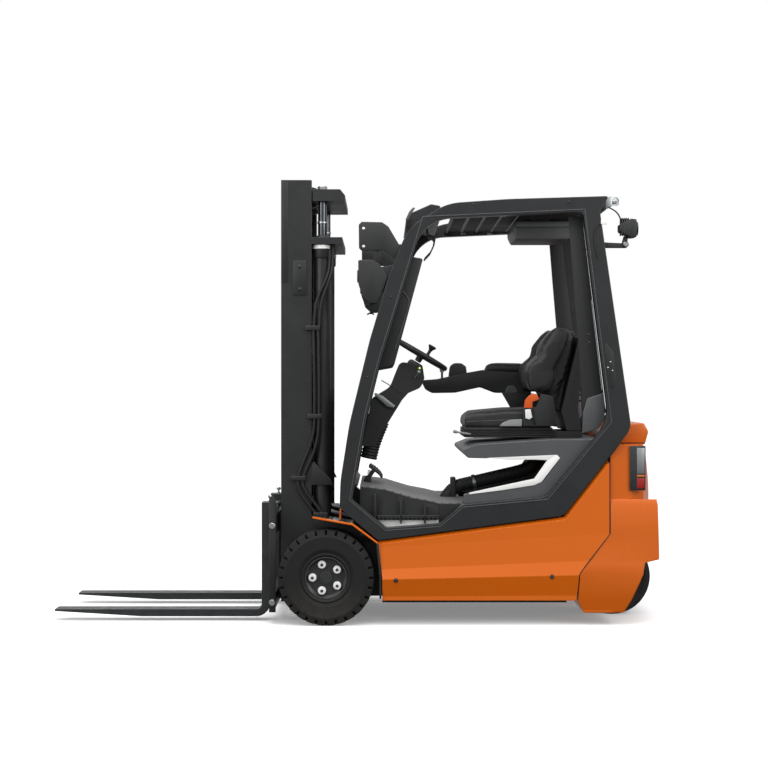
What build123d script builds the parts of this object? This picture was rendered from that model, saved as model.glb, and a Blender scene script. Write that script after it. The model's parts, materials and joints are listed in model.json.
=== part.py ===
from build123d import *
from math import atan2, cos, degrees, hypot, radians, sin, sqrt
import os

os.makedirs("parts", exist_ok=True)

# Three-wheel electric counterbalance forklift, in millimetres.
# The floor is z = 0, the forks point to -X and the truck's left side is -Y.

# Wheels and their places
truck_w = 1060
front_axle_x = -141
wheelbase = 1413
front_tyre_od = 457
front_tyre_w = 178
front_rim_od = 226
front_lugs = 28
rear_tyre_od = 380
rear_tyre_w = 115
rear_tyre_gap = 40
rear_rim_od = 208
running_gap = 10

# Fork and carriage
fork_l = 1003
fork_w = 100
fork_t = 44
fork_y = 300
blade_t = 35
blade_z = 57
shank_top_z = 574
carriage_face_x = -415
carriage_w = 920
bar_t = 32
bar_lip = 16
upper_bar_z = 430
upper_bar_h = 90
lower_bar_z = 80
lower_bar_h = 70
lip_h = 22
hook_gap = 5

# Mast
mast_h = 2141
mast_foot_z = 90
mast_w = 640
mast_front_x = -367
rail_depth = 148
rail_width = 55
rail_web = 16
rail_flange = 18
mast_gap = 6
roller_gap = 6
cylinder_od = 86
rod_od = 44
rod_gap = 4
head_z = 1829
head_t = 34
crosshead_z = 2039
crosshead_t = 58
pulley_od = 104
pulley_w = 26
chain_w = 20
chain_t = 12
chain_y = 150
lift_stroke = 1400
rod_hold = 66

# Tilt cylinders
tilt_y = 178
tilt_eye_x = -160
tilt_eye_z = 520
tilt_foot_x = 200
tilt_foot_z = 430
tilt_barrel_od = 70
tilt_rod_od = 32
tilt_pin_d = 24
lug_t = 14
foot_lug_gap = tilt_barrel_od / 2 + 6
eye_lug_gap = 20

# Body
frame_t = 16
axle_journal_d = 120
portal_t = 60
panel_t = 67
seam = 4
floor_t = 12
deck_z = 883
floor_half_w = 425
battery_l = 560
battery_h = 440
battery_w = 640

# Worked out from the sizes above
rear_axle_x = front_axle_x + wheelbase
front_r = front_tyre_od / 2
rear_r = rear_tyre_od / 2
half_w = truck_w / 2
wheel_y = half_w - front_tyre_w / 2
front_axis = Axis((front_axle_x, 0, front_r), (0, 1, 0))
portal_out_y = half_w - 15
portal_in_y = portal_out_y - portal_t
rear_axis = Axis((rear_axle_x, 0, rear_r), (0, 1, 0))
F = front_axle_x
R = rear_axle_x
rod_foot_z = head_z - lift_stroke - rod_hold


def rounded(points, radii):
    # A closed outline with its corners rounded, as a flat face
    with BuildSketch() as face:
        with BuildLine():
            FilletPolyline(points, radius=radii, close=True)
        make_face()
    return face.sketch


def polygon(points):
    # A closed outline with sharp corners, as a flat face
    with BuildSketch() as face:
        with BuildLine():
            Polyline(points, close=True)
        make_face()
    return face.sketch


def at_y(y):
    # The upright lengthways plane at this y, which extrudes towards -Y
    return Plane.XZ.offset(-y)


# Front tyres: solid tyres with lugs along both shoulders
tyre_half = front_tyre_w / 2
rim_r = front_rim_od / 2
tyre_section = [
    (-tyre_half + 8, rim_r),
    (-tyre_half, rim_r + 24),
    (-tyre_half, front_r - 36),
    (-tyre_half + 12, front_r - 4),
    (-tyre_half + 26, front_r),
    (tyre_half - 26, front_r),
    (tyre_half - 12, front_r - 4),
    (tyre_half, front_r - 36),
    (tyre_half, rim_r + 24),
    (tyre_half - 8, rim_r),
]
with BuildPart() as front_tyre_left:
    with BuildSketch(Plane.YZ.offset(front_axle_x)):
        with Locations((-wheel_y, front_r)):
            add(polygon(tyre_section))
    revolve(axis=front_axis)
    with Locations(Plane(origin=(front_axle_x, -wheel_y, front_r), x_dir=(1, 0, 0), z_dir=(0, -1, 0))):
        with PolarLocations(front_r - 8, front_lugs):
            with Locations((0, 0, -tyre_half), (0, 0, tyre_half)):
                Box(34, 13, 76, mode=Mode.SUBTRACT)
front_tyre_left.part.label = "front_tyre_left"

# Front wheel discs: a dished disc in a barrel, with a hub and a ring of five nuts
hub_r = 98
nut_circle_r = 65
with BuildPart() as front_rim_left:
    with BuildSketch(Plane.YZ.offset(front_axle_x)):
        with Locations((-wheel_y, front_r)):
            add(polygon([
                (-tyre_half + 6, rim_r),
                (-tyre_half + 6, rim_r - 10),
                (-tyre_half + 28, rim_r - 16),
                (-tyre_half + 34, hub_r - 12),
                (-tyre_half + 34, 0),
                (-tyre_half + 62, 0),
                (-tyre_half + 62, hub_r - 12),
                (tyre_half - 8, rim_r - 18),
                (tyre_half - 8, rim_r),
            ]))
    revolve(axis=front_axis)
    with BuildSketch(at_y(-wheel_y - tyre_half + 36)):
        with Locations((front_axle_x, front_r)):
            with PolarLocations(nut_circle_r, 5, start_angle=180):
                RegularPolygon(13, 6)
            Circle(28)
    extrude(amount=20)
front_rim_left.part.label = "front_rim_left"

with BuildPart() as front_tyre_right:
    mirror(front_tyre_left.part, about=Plane.XZ)
front_tyre_right.part.label = "front_tyre_right"

with BuildPart() as front_rim_right:
    mirror(front_rim_left.part, about=Plane.XZ)
front_rim_right.part.label = "front_rim_right"

# Rear twin wheels on one axle, either side of the steering fork's web
rear_wheel_y = rear_tyre_gap / 2 + rear_tyre_w / 2
rear_half = rear_tyre_w / 2
rear_rim_r = rear_rim_od / 2
with BuildPart() as rear_tyres:
    with BuildSketch(Plane.YZ.offset(rear_axle_x)):
        with Locations((-rear_wheel_y, rear_r), (rear_wheel_y, rear_r)):
            add(polygon([
                (-rear_half + 6, rear_rim_r),
                (-rear_half, rear_rim_r + 20),
                (-rear_half, rear_r - 22),
                (-rear_half + 16, rear_r),
                (rear_half - 16, rear_r),
                (rear_half, rear_r - 22),
                (rear_half, rear_rim_r + 20),
                (rear_half - 6, rear_rim_r),
            ]))
    revolve(axis=rear_axis)
rear_tyres.part.label = "rear_tyres"

axle_r = 20
with BuildPart() as rear_rims:
    with BuildSketch(Plane.YZ.offset(rear_axle_x)):
        with Locations((-rear_wheel_y, rear_r)):
            add(polygon([
                (-rear_half + 5, rear_rim_r),
                (-rear_half + 5, rear_rim_r - 10),
                (-rear_half + 26, rear_rim_r - 14),
                (-rear_half + 30, 0),
                (rear_half, 0),
                (rear_half, 44),
                (-rear_half + 48, rear_rim_r - 22),
                (rear_half - 6, rear_rim_r - 12),
                (rear_half - 6, rear_rim_r),
            ]))
    revolve(axis=rear_axis)
    mirror(about=Plane.XZ)
    with Locations(Plane(origin=(rear_axle_x, 0, rear_r), z_dir=(0, 1, 0))):
        Cylinder(axle_r, 2 * rear_wheel_y)
rear_rims.part.label = "rear_rims"

# Steering fork: a turntable in the casting's roof and a web down to the axle
steer_top_z = rear_tyre_od + 60
turntable_r = 130
turntable_t = 24
web_t = rear_tyre_gap - 2 * running_gap
with BuildPart() as steer_fork:
    with Locations((rear_axle_x, 0, steer_top_z - turntable_t / 2)):
        Cylinder(turntable_r, turntable_t)
    with BuildSketch(at_y(web_t / 2)):
        with Locations((rear_axle_x, rear_r)):
            add(polygon([
                (-turntable_r + 20, steer_top_z - turntable_t - rear_r),
                (-46, 0),
                (46, 0),
                (turntable_r - 20, steer_top_z - turntable_t - rear_r),
            ]))
            Circle(46)
            Circle(axle_r + 1, mode=Mode.SUBTRACT)
    extrude(amount=web_t)
steer_fork.part.label = "steer_fork"

# Counterweight: a casting with a round pocket for the twin wheels, open to the rear
swing_r = hypot(rear_tyre_gap / 2 + rear_tyre_w, rear_r)
pocket_r = swing_r + 17
cast_rear_x = R + 185
cast_half_w = half_w - 33
with BuildPart() as counterweight:
    with BuildSketch(Plane.XY):
        with BuildLine():
            Polyline(
                (R - 60, -cast_half_w),
                (R - 260, -cast_half_w),
                (R - 260, cast_half_w),
                (R - 60, cast_half_w),
                (R + 40, cast_half_w - 10),
                (R + 103, cast_half_w - 47),
            )
            ThreePointArc(
                (R + 103, cast_half_w - 47), (cast_rear_x, 0), (R + 103, 47 - cast_half_w)
            )
            Polyline(
                (R + 103, 47 - cast_half_w),
                (R + 40, 10 - cast_half_w),
                (R - 60, -cast_half_w),
            )
        make_face()
    extrude(amount=1000)
    with BuildSketch(at_y(half_w)):
        add(rounded(
            [
                (R - 188, 60), (R + 3, 60), (R + 40, 118), (R + 88, 205), (R + 120, 300),
                (R + 186, 305), (R + 170, 600), (R + 110, 860), (R - 62, 860),
                (R - 62, 434), (R - 209, 245), (R - 218, 117),
            ],
            [8, 20, 40, 60, 20, 12, 80, 30, 4, 30, 30, 12],
        ))
    extrude(amount=truck_w, mode=Mode.INTERSECT)
    with BuildSketch(at_y(battery_w / 2 + 80)):
        add(polygon([(R - 62, 434), (R - 62, 800), (R - 180, 640), (R - 218, 434), (R - 218, 120), (R - 62, 120)]))
    extrude(amount=battery_w + 160)
    with Locations((rear_axle_x, 0, steer_top_z / 2)):
        Cylinder(pocket_r, steer_top_z, mode=Mode.SUBTRACT)
    for cut_y in (half_w, seam - portal_in_y):
        with BuildSketch(at_y(cut_y)):
            add(polygon([(R - 285, 516), (R + 42, 938), (R + 42, 1100), (R - 285, 1100)]))
        extrude(amount=half_w - portal_in_y + seam, mode=Mode.SUBTRACT)
counterweight.part.label = "counterweight"

# Battery, one plain block in the middle of the chassis
battery_x = R - 270 - battery_l
pan_z = 100
battery_z = pan_z + frame_t
with BuildPart() as battery_block:
    with Locations((battery_x, 0, battery_z)):
        Box(battery_l, battery_w, battery_h, align=(Align.MIN, Align.CENTER, Align.MIN))
battery_block.part.label = "battery_block"

# Chassis: a floor pan with side plates, a front bulkhead and arms out to the drive axle
frame_half_w = half_w - 102
frame_x = F + 267
pan_l = R - 262 - frame_x
arm_y = half_w - front_tyre_w - running_gap
with BuildPart() as chassis_frame:
    with Locations((frame_x, 0, pan_z)):
        Box(pan_l, 2 * frame_half_w, frame_t, align=(Align.MIN, Align.CENTER, Align.MIN))
    with Locations((frame_x, 0, battery_z)):
        Box(frame_t, 2 * frame_half_w, 284, align=(Align.MIN, Align.CENTER, Align.MIN))
    with BuildSketch(at_y(-frame_half_w + frame_t)):
        add(polygon([
            (frame_x, battery_z), (frame_x, 395), (R - 290, 510), (R - 262, 510), (R - 262, battery_z)
        ]))
    extrude(amount=frame_t)
    with BuildSketch(at_y(-arm_y + frame_t)):
        add(rounded(
            [(F - 90, 150), (F - 90, 300), (F + 60, 400), (frame_x + frame_t, 400), (frame_x + frame_t, 120), (F + 60, 120)],
            [60, 60, 40, 2, 2, 40],
        ))
        with Locations((front_axle_x, front_r)):
            Circle(axle_journal_d / 2 - 8, mode=Mode.SUBTRACT)
    extrude(amount=frame_t)
    for lug_y in (tilt_y - foot_lug_gap - lug_t, tilt_y + foot_lug_gap):
        with BuildSketch(at_y(-lug_y)):
            add(polygon([
                (frame_x + frame_t, 350), (frame_x + frame_t, 414), (tilt_foot_x - 24, tilt_foot_z + 26),
                (tilt_foot_x + 24, tilt_foot_z + 26), (tilt_foot_x + 24, 380),
            ]))
            with Locations((tilt_foot_x, tilt_foot_z)):
                Circle(tilt_pin_d / 2, mode=Mode.SUBTRACT)
        extrude(amount=lug_t)
    mirror(about=Plane.XZ)
chassis_frame.part.label = "chassis_frame"

# Drive axle: a housing between the arms, with a motor on its rear face
with BuildPart() as drive_axle:
    with BuildSketch(Plane.YZ.offset(front_axle_x)):
        with Locations((0, front_r)):
            add(polygon([
                (-arm_y - 4, 0), (-arm_y - 4, axle_journal_d / 2 - 9), (-arm_y + frame_t + 1, axle_journal_d / 2 - 9),
                (-arm_y + frame_t + 1, axle_journal_d / 2), (-mast_w / 2 + 110, axle_journal_d / 2),
                (-mast_w / 2 + 116, 70), (mast_w / 2 - 116, 70), (mast_w / 2 - 110, axle_journal_d / 2),
                (arm_y - frame_t - 1, axle_journal_d / 2), (arm_y - frame_t - 1, axle_journal_d / 2 - 9),
                (arm_y + 4, axle_journal_d / 2 - 9), (arm_y + 4, 0),
            ]))
    revolve(axis=front_axis)
    with Locations((front_axle_x + 150, 0, front_r + 10)):
        Box(150, 2 * (mast_w / 2 - 90), 170)
drive_axle.part.label = "drive_axle"

# Side panels: folded facets below the cab frame, with a belt line that climbs to the rear
panel_outline = [
    (F + 246, 400), (F + 267, 229), (F + 267, 120), (R - 224, 120), (R - 213, 246),
    (R - 66, 434), (R - 66, 770), (R - 78, 784), (R - 285, 516),
]
panel_in_y = frame_half_w + 1
facet_y = half_w - 20
with BuildPart() as side_panel_left:
    with BuildSketch(at_y(-panel_in_y)):
        add(polygon(panel_outline))
    extrude(amount=facet_y - panel_in_y)
    top_edges = side_panel_left.faces().sort_by(Axis.Y)[0].edges()
    rim = [
        edge for edge in top_edges
        if edge.center().Z > 450 and R - 280 < edge.center().X < R - 80 or abs(edge.center().Z - 458) < 12
    ]
    chamfer(rim, 14)
    with BuildSketch(Plane.YZ.offset(F + 230)):
        add(polygon([
            (-panel_in_y - 20, 110), (-half_w + 27, 110), (-half_w, 221), (-half_w + 14, 267), (-facet_y, 372),
            (-panel_in_y - 20, 372),
        ]))
    with BuildSketch(Plane.YZ.offset(R - 60)):
        add(polygon([
            (-panel_in_y - 20, 110), (-half_w + 27, 110), (-half_w, 246), (-half_w + 14, 314), (-facet_y, 440),
            (-panel_in_y - 20, 440),
        ]))
    loft(ruled=True)
    with BuildSketch(at_y(-panel_in_y)):
        add(polygon(panel_outline))
    extrude(amount=truck_w, mode=Mode.INTERSECT)
side_panel_left.part.label = "side_panel_left"

with BuildPart() as side_panel_right:
    mirror(side_panel_left.part, about=Plane.XZ)
side_panel_right.part.label = "side_panel_right"

# Cab frame: one welded ring each side makes the front pillar, roof rail, rear pillar and sill
portal_outer = [
    (R - 71, 2040), (F + 867, 2026), (F + 575, 2006), (F + 390, 1892), (F + 298, 1661),
    (F + 207, 1357), (F + 110, 957), (F + 68, 690), (F + 64, 560), (F + 249, 406),
    (R - 285, 523), (R + 36, 938), (R - 113, 1966),
]
portal_outer_r = [8, 1500, 250, 250, 600, 900, 900, 500, 25, 20, 60, 90, 40]
portal_inner = [
    (R - 192, 1966), (F + 464, 1932), (F + 253, 1242), (F + 192, 994), (F + 123, 600),
    (F + 286, 465), (F + 537, 484), (F + 647, 575), (R - 367, 613), (R - 69, 968),
]
portal_inner_r = [30, 186, 900, 900, 20, 25, 30, 30, 60, 200]
with BuildPart() as cab_frame_left:
    with BuildSketch(at_y(-portal_in_y)):
        add(rounded(portal_outer, portal_outer_r))
        add(rounded(portal_inner, portal_inner_r), mode=Mode.SUBTRACT)
    extrude(amount=portal_t)
cab_frame_left.part.label = "cab_frame_left"

with BuildPart() as cab_frame_right:
    mirror(cab_frame_left.part, about=Plane.XZ)
cab_frame_right.part.label = "cab_frame_right"

# Roof: slats across between the two rings
slats = 9
with BuildPart() as guard_roof:
    for i in range(slats):
        slat_x = F + 620 + i * (R - 160 - F - 620) / (slats - 1)
        with BuildSketch(at_y(portal_in_y)):
            with Locations((slat_x, 1976 + i * 2)):
                Rectangle(14, 56, rotation=-35)
        extrude(amount=2 * portal_in_y)
guard_roof.part.label = "guard_roof"

# Front header between the front pillars' heads
with BuildPart() as front_header:
    with BuildSketch(at_y(portal_in_y)):
        add(rounded(
            [(F + 376, 1928), (F + 545, 1936), (F + 545, 2000), (F + 500, 2008), (F + 392, 1960)],
            [6, 6, 10, 20, 20],
        ))
    extrude(amount=2 * portal_in_y)
front_header.part.label = "front_header"

# Floor tub between the sills, rising to the front
floor_line = [(F + 160, 655), (F + 280, 640), (F + 318, 628), (F + 409, 601), (F + 496, 585), (F + 544, 573), (F + 655, 573)]
with BuildPart() as floor_tub:
    with BuildSketch(at_y(floor_half_w)):
        add(polygon([(F + 160, 420), *floor_line, (F + 655, 480), (F + 280, 420)]))
    extrude(amount=2 * floor_half_w)
    with BuildSketch(at_y(floor_half_w - floor_t)):
        add(polygon([
            (F + 150, 400), *[(x, z - floor_t) for x, z in floor_line], (F + 665, 561), (F + 665, 400)
        ]))
    extrude(amount=2 * (floor_half_w - floor_t), mode=Mode.SUBTRACT)
floor_tub.part.label = "floor_tub"

mat_t = 6
with BuildPart() as floor_mat:
    with BuildSketch(at_y(floor_half_w - 5)):
        add(polygon([*floor_line, *[(x, z + mat_t) for x, z in reversed(floor_line)]]))
    extrude(amount=2 * (floor_half_w - 5))
floor_mat.part.label = "floor_mat"

# Front cowl between the front pillars
with BuildPart() as front_cowl:
    with BuildSketch(at_y(portal_in_y)):
        add(polygon([
            (F + 106, 690), (F + 148, 957), (F + 190, 1120), (F + 212, 1120), (F + 168, 957), (F + 126, 690),
            (F + 150, 661), (F + 140, 656), (F + 106, 656),
        ]))
    extrude(amount=2 * portal_in_y)
front_cowl.part.label = "front_cowl"

# Seat deck: a beam over the battery, held by C-shaped cheeks that leave an opening below it
deck_half_w = floor_half_w + 25
cheek_t = 50
with BuildPart() as seat_deck:
    with BuildSketch(at_y(-deck_half_w + cheek_t)):
        add(rounded(
            [
                (F + 658, 576), (F + 658, 620), (R - 405, 665), (R - 375, 682), (R - 300, 780), (R - 318, 806),
                (F + 763, 792), (F + 676, 794), (F + 641, 829), (F + 714, 858), (R - 332, 883),
                (R - 80, 883), (R - 66, 870), (R - 66, 800), (R - 276, 532), (R - 290, 560), (F + 760, 570),
            ],
            [4, 8, 60, 60, 14, 14, 4, 20, 14, 40, 60, 10, 10, 4, 4, 30, 4],
        ))
    extrude(amount=cheek_t)
    mirror(about=Plane.XZ)
    with BuildSketch(at_y(deck_half_w - cheek_t)):
        add(rounded(
            [
                (R - 318, 806), (F + 763, 792), (F + 676, 794), (F + 641, 829), (F + 714, 858), (R - 332, 883),
                (R - 80, 883), (R - 66, 870), (R - 66, 806),
            ],
            [4, 4, 20, 14, 40, 60, 10, 10, 4],
        ))
    extrude(amount=2 * (deck_half_w - cheek_t))
seat_deck.part.label = "seat_deck"

# Seat
seat_half_w = 245
with BuildPart() as seat_base:
    with BuildSketch(at_y(seat_half_w - 25)):
        add(rounded(
            [(F + 690, 884), (F + 690, 914), (R - 160, 914), (R - 160, 884)], [6, 12, 12, 6]
        ))
    extrude(amount=2 * (seat_half_w - 25))
seat_base.part.label = "seat_base"

with BuildPart() as seat_cushion:
    with BuildSketch(at_y(seat_half_w)):
        add(rounded(
            [(F + 658, 918), (F + 655, 960), (F + 878, 1000), (R - 290, 1004), (R - 290, 918)],
            [14, 22, 60, 20, 8],
        ))
    extrude(amount=2 * seat_half_w)
    fillet(seat_cushion.edges().filter_by(Axis.Y, reverse=True).group_by(Axis.Z)[-1], 4)
seat_cushion.part.label = "seat_cushion"

with BuildPart() as seat_backrest:
    with BuildSketch(at_y(seat_half_w - 5)):
        add(rounded(
            [
                (R - 285, 918), (R - 285, 1000), (R - 408, 1128), (R - 322, 1407), (R - 296, 1447),
                (R - 172, 1424), (R - 186, 1346), (R - 266, 1010), (R - 240, 918),
            ],
            [8, 30, 40, 40, 20, 20, 60, 40, 8],
        ))
    extrude(amount=2 * (seat_half_w - 5))
seat_backrest.part.label = "seat_backrest"

with BuildPart() as seat_back_shell:
    with BuildSketch(at_y(seat_half_w - 30)):
        add(rounded(
            [
                (R - 236, 918), (R - 262, 1011), (R - 182, 1346), (R - 170, 1400), (R - 150, 1351),
                (R - 180, 1031), (R - 165, 918),
            ],
            [6, 30, 30, 6, 20, 60, 6],
        ))
    extrude(amount=2 * (seat_half_w - 30))
seat_back_shell.part.label = "seat_back_shell"

# Steering column and wheel
column_points = [
    (F + 224, 834), (F + 366, 1067), (F + 397, 1102), (F + 458, 1128), (F + 478, 1168),
    (F + 463, 1240), (F + 356, 1262), (F + 305, 1133), (F + 214, 1077), (F + 163, 834),
]
column_w = 90
with BuildPart() as steering_column:
    with BuildSketch(at_y(column_w / 2)):
        add(rounded(column_points, [10, 30, 20, 40, 30, 10, 30, 60, 30, 10]))
    extrude(amount=column_w)
    with BuildSketch(at_y(column_w / 2 - 10)):
        add(polygon([(F + 150, 964), (F + 150, 780), (F + 163, 834), (F + 200, 1000)]))
    extrude(amount=column_w - 20)
    add(front_cowl.part, mode=Mode.SUBTRACT)
steering_column.part.label = "steering_column"

wheel_d = 300
grip_d = 26
steer_x = F + 465
steer_z = 1296
steer_lean = 30.6
steer_plane = Plane(
    origin=(steer_x, 0, steer_z), x_dir=(0, 1, 0), z_dir=(sin(radians(steer_lean)), 0, cos(radians(steer_lean)))
)
with BuildPart() as steering_wheel:
    with Locations(steer_plane):
        Torus(wheel_d / 2 - grip_d / 2, grip_d / 2)
        Cylinder(34, 26)
    with Locations(steer_plane):
        with PolarLocations(wheel_d / 4, 3, start_angle=90):
            Box(wheel_d / 2 - grip_d, 26, 8)
    with Locations(steer_plane.offset(-26)):
        Cylinder(14, 30)
    with Locations(steer_plane):
        with Locations((-70, -105, 34)):
            Cylinder(15, 44)
steering_wheel.part.label = "steering_wheel"

# Mast: the outer rails are channels that open inwards, with the inner rails nested in them
mast_half = mast_w / 2
rail_rear_x = mast_front_x + rail_depth
outer_channel = [
    (mast_front_x, -mast_half), (rail_rear_x, -mast_half), (rail_rear_x, -mast_half + rail_width),
    (rail_rear_x - rail_flange, -mast_half + rail_width), (rail_rear_x - rail_flange, -mast_half + rail_web),
    (mast_front_x + rail_flange, -mast_half + rail_web), (mast_front_x + rail_flange, -mast_half + rail_width),
    (mast_front_x, -mast_half + rail_width),
]
cylinder_x = rail_rear_x + 8 + cylinder_od / 2
cylinder_y = mast_half - rail_width
seat_z = front_r + axle_journal_d / 2 + 52
foot_in_y = mast_half - 58
with BuildPart() as mast_outer_frame:
    with BuildSketch(Plane.XY.offset(mast_foot_z)):
        add(polygon(outer_channel))
    extrude(amount=mast_h - mast_foot_z)
    with BuildSketch(at_y(-foot_in_y)):
        with Locations((front_axle_x, front_r)):
            Circle(axle_journal_d / 2 + 30)
        add(polygon([
            (rail_rear_x, mast_foot_z + 30), (front_axle_x, front_r - axle_journal_d / 2 - 29),
            (front_axle_x, seat_z - 1), (rail_rear_x, seat_z + 180),
            (rail_rear_x - 1, seat_z + 180), (rail_rear_x - 1, mast_foot_z + 30),
        ]))
        with Locations((front_axle_x, front_r)):
            Circle(axle_journal_d / 2 + 1.5, mode=Mode.SUBTRACT)
    extrude(amount=mast_half - foot_in_y)
    with BuildSketch(Plane.XY.offset(seat_z)):
        with Locations((cylinder_x, -cylinder_y)):
            Circle(cylinder_od / 2 + 1)
    extrude(amount=600, mode=Mode.SUBTRACT)
    with BuildSketch(Plane.XY.offset(seat_z - 24)):
        with Locations((rail_rear_x, -cylinder_y)):
            Rectangle(cylinder_od + 12, cylinder_od + 8, align=(Align.MIN, Align.CENTER))
    extrude(amount=24)
    mirror(about=Plane.XZ)
    with BuildSketch(Plane.XY.offset(head_z)):
        with Locations((rail_rear_x, 0)):
            Rectangle(150, mast_w, align=(Align.MIN, Align.CENTER))
        with Locations((cylinder_x, -cylinder_y), (cylinder_x, cylinder_y)):
            Circle(rod_od / 2 + rod_gap, mode=Mode.SUBTRACT)
    extrude(amount=head_t)
    for tie_z, tie_h in ((160, 120), (470, 100), (1300, 90)):
        with Locations((rail_rear_x - rail_flange / 2, 0, tie_z)):
            Box(rail_flange, 2 * cylinder_y, tie_h, align=(Align.CENTER, Align.CENTER, Align.MIN))
    for lug_y in (tilt_y - eye_lug_gap - lug_t, tilt_y + eye_lug_gap, -tilt_y - eye_lug_gap - lug_t, -tilt_y + eye_lug_gap):
        with BuildSketch(at_y(lug_y + lug_t)):
            add(polygon([
                (rail_rear_x, 475), (rail_rear_x, 565), (tilt_eye_x + 20, tilt_eye_z + 20),
                (tilt_eye_x + 20, tilt_eye_z - 20),
            ]))
            with Locations((tilt_eye_x, tilt_eye_z)):
                Circle(tilt_pin_d / 2, mode=Mode.SUBTRACT)
        extrude(amount=lug_t)
mast_outer_frame.part.label = "mast_outer_frame"

with BuildPart() as lift_cylinders:
    with BuildSketch(Plane.XY.offset(seat_z)):
        with Locations((cylinder_x, -cylinder_y), (cylinder_x, cylinder_y)):
            Circle(cylinder_od / 2)
    extrude(amount=head_z - seat_z)
    with BuildSketch(Plane.XY.offset(rod_foot_z - rod_gap)):
        with Locations((cylinder_x, -cylinder_y), (cylinder_x, cylinder_y)):
            Circle(rod_od / 2 + rod_gap)
    extrude(amount=head_z - seat_z, mode=Mode.SUBTRACT)
lift_cylinders.part.label = "lift_cylinders"

# Inner mast
inner_front_x = mast_front_x + rail_flange + mast_gap
inner_rear_x = rail_rear_x - rail_flange - mast_gap
inner_out_y = mast_half - rail_web - mast_gap
inner_web = 14
inner_flange = 15
inner_tip_y = inner_out_y - 70
inner_channel = [
    (inner_front_x, -inner_out_y), (inner_rear_x, -inner_out_y), (inner_rear_x, -inner_tip_y),
    (inner_rear_x - inner_flange, -inner_tip_y), (inner_rear_x - inner_flange, -inner_out_y + inner_web),
    (inner_front_x + inner_flange, -inner_out_y + inner_web), (inner_front_x + inner_flange, -inner_tip_y),
    (inner_front_x, -inner_tip_y),
]
head_in_y = mast_half - rail_width - mast_gap
pulley_x = inner_rear_x + 14
pulley_z = crosshead_z + crosshead_t / 2
with BuildPart() as mast_inner_frame:
    with BuildSketch(Plane.XY.offset(mast_foot_z + 10)):
        add(polygon(inner_channel))
    extrude(amount=mast_h - 6 - mast_foot_z - 10)
    mirror(about=Plane.XZ)
    with Locations((inner_rear_x - inner_flange, 0, mast_foot_z + 20)):
        Box(inner_flange, 2 * inner_tip_y, 90, align=(Align.MIN, Align.CENTER, Align.MIN))
    with BuildSketch(at_y(head_in_y)):
        add(polygon([
            (inner_rear_x - inner_flange, crosshead_z), (inner_rear_x - inner_flange, crosshead_z + crosshead_t),
            (F + 61, crosshead_z + crosshead_t), (F + 85, crosshead_z + crosshead_t / 2), (F + 85, crosshead_z),
        ]))
    extrude(amount=2 * head_in_y)
    with BuildSketch(at_y(mast_half - 6)):
        add(polygon([
            (rail_rear_x + mast_gap, crosshead_z), (rail_rear_x + mast_gap, crosshead_z + crosshead_t),
            (F + 61, crosshead_z + crosshead_t), (F + 85, crosshead_z + crosshead_t / 2), (F + 85, crosshead_z),
        ]))
    extrude(amount=mast_w - 12)
    with Locations((pulley_x, -chain_y, pulley_z), (pulley_x, chain_y, pulley_z)):
        Box(pulley_od + 2 * chain_t + 12, pulley_w + 14, 200, mode=Mode.SUBTRACT)
mast_inner_frame.part.label = "mast_inner_frame"

with BuildPart() as lift_rods:
    with BuildSketch(Plane.XY.offset(rod_foot_z)):
        with Locations((cylinder_x, -cylinder_y), (cylinder_x, cylinder_y)):
            Circle(rod_od / 2)
    extrude(amount=crosshead_z - rod_foot_z)
lift_rods.part.label = "lift_rods"

# Chain pulleys, each with the half turn of chain that lies on it
pulley_r = pulley_od / 2
chain_front_x = pulley_x - pulley_r
chain_rear_x = pulley_x + pulley_r
with BuildPart() as chain_pulleys:
    for side in (-1, 1):
        with BuildSketch(at_y(side * chain_y + pulley_w / 2)):
            with Locations((pulley_x, pulley_z)):
                Circle(pulley_r - chain_t / 2)
        extrude(amount=pulley_w)
        with BuildSketch(at_y(side * chain_y + pulley_w / 2 + 7)):
            with Locations((pulley_x, pulley_z)):
                Circle(12)
        extrude(amount=pulley_w + 14)
        with BuildSketch(at_y(side * chain_y + chain_w / 2)):
            with Locations((pulley_x, pulley_z)):
                Circle(pulley_r + chain_t / 2)
                Circle(pulley_r - chain_t / 2, mode=Mode.SUBTRACT)
                with Locations((0, -pulley_od)):
                    Rectangle(3 * pulley_od, 2 * pulley_od, mode=Mode.SUBTRACT)
        extrude(amount=chain_w)
chain_pulleys.part.label = "chain_pulleys"

anchor_z = 470
with BuildPart() as chain_front:
    with Locations((chain_front_x, -chain_y, anchor_z), (chain_front_x, chain_y, anchor_z)):
        Box(chain_t, chain_w, pulley_z - anchor_z, align=(Align.CENTER, Align.CENTER, Align.MIN))
chain_front.part.label = "chain_front"

with BuildPart() as chain_rear:
    with Locations((chain_rear_x, -chain_y, head_z + head_t), (chain_rear_x, chain_y, head_z + head_t)):
        Box(chain_t, chain_w, pulley_z - head_z - head_t, align=(Align.CENTER, Align.CENTER, Align.MIN))
chain_rear.part.label = "chain_rear"

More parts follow.
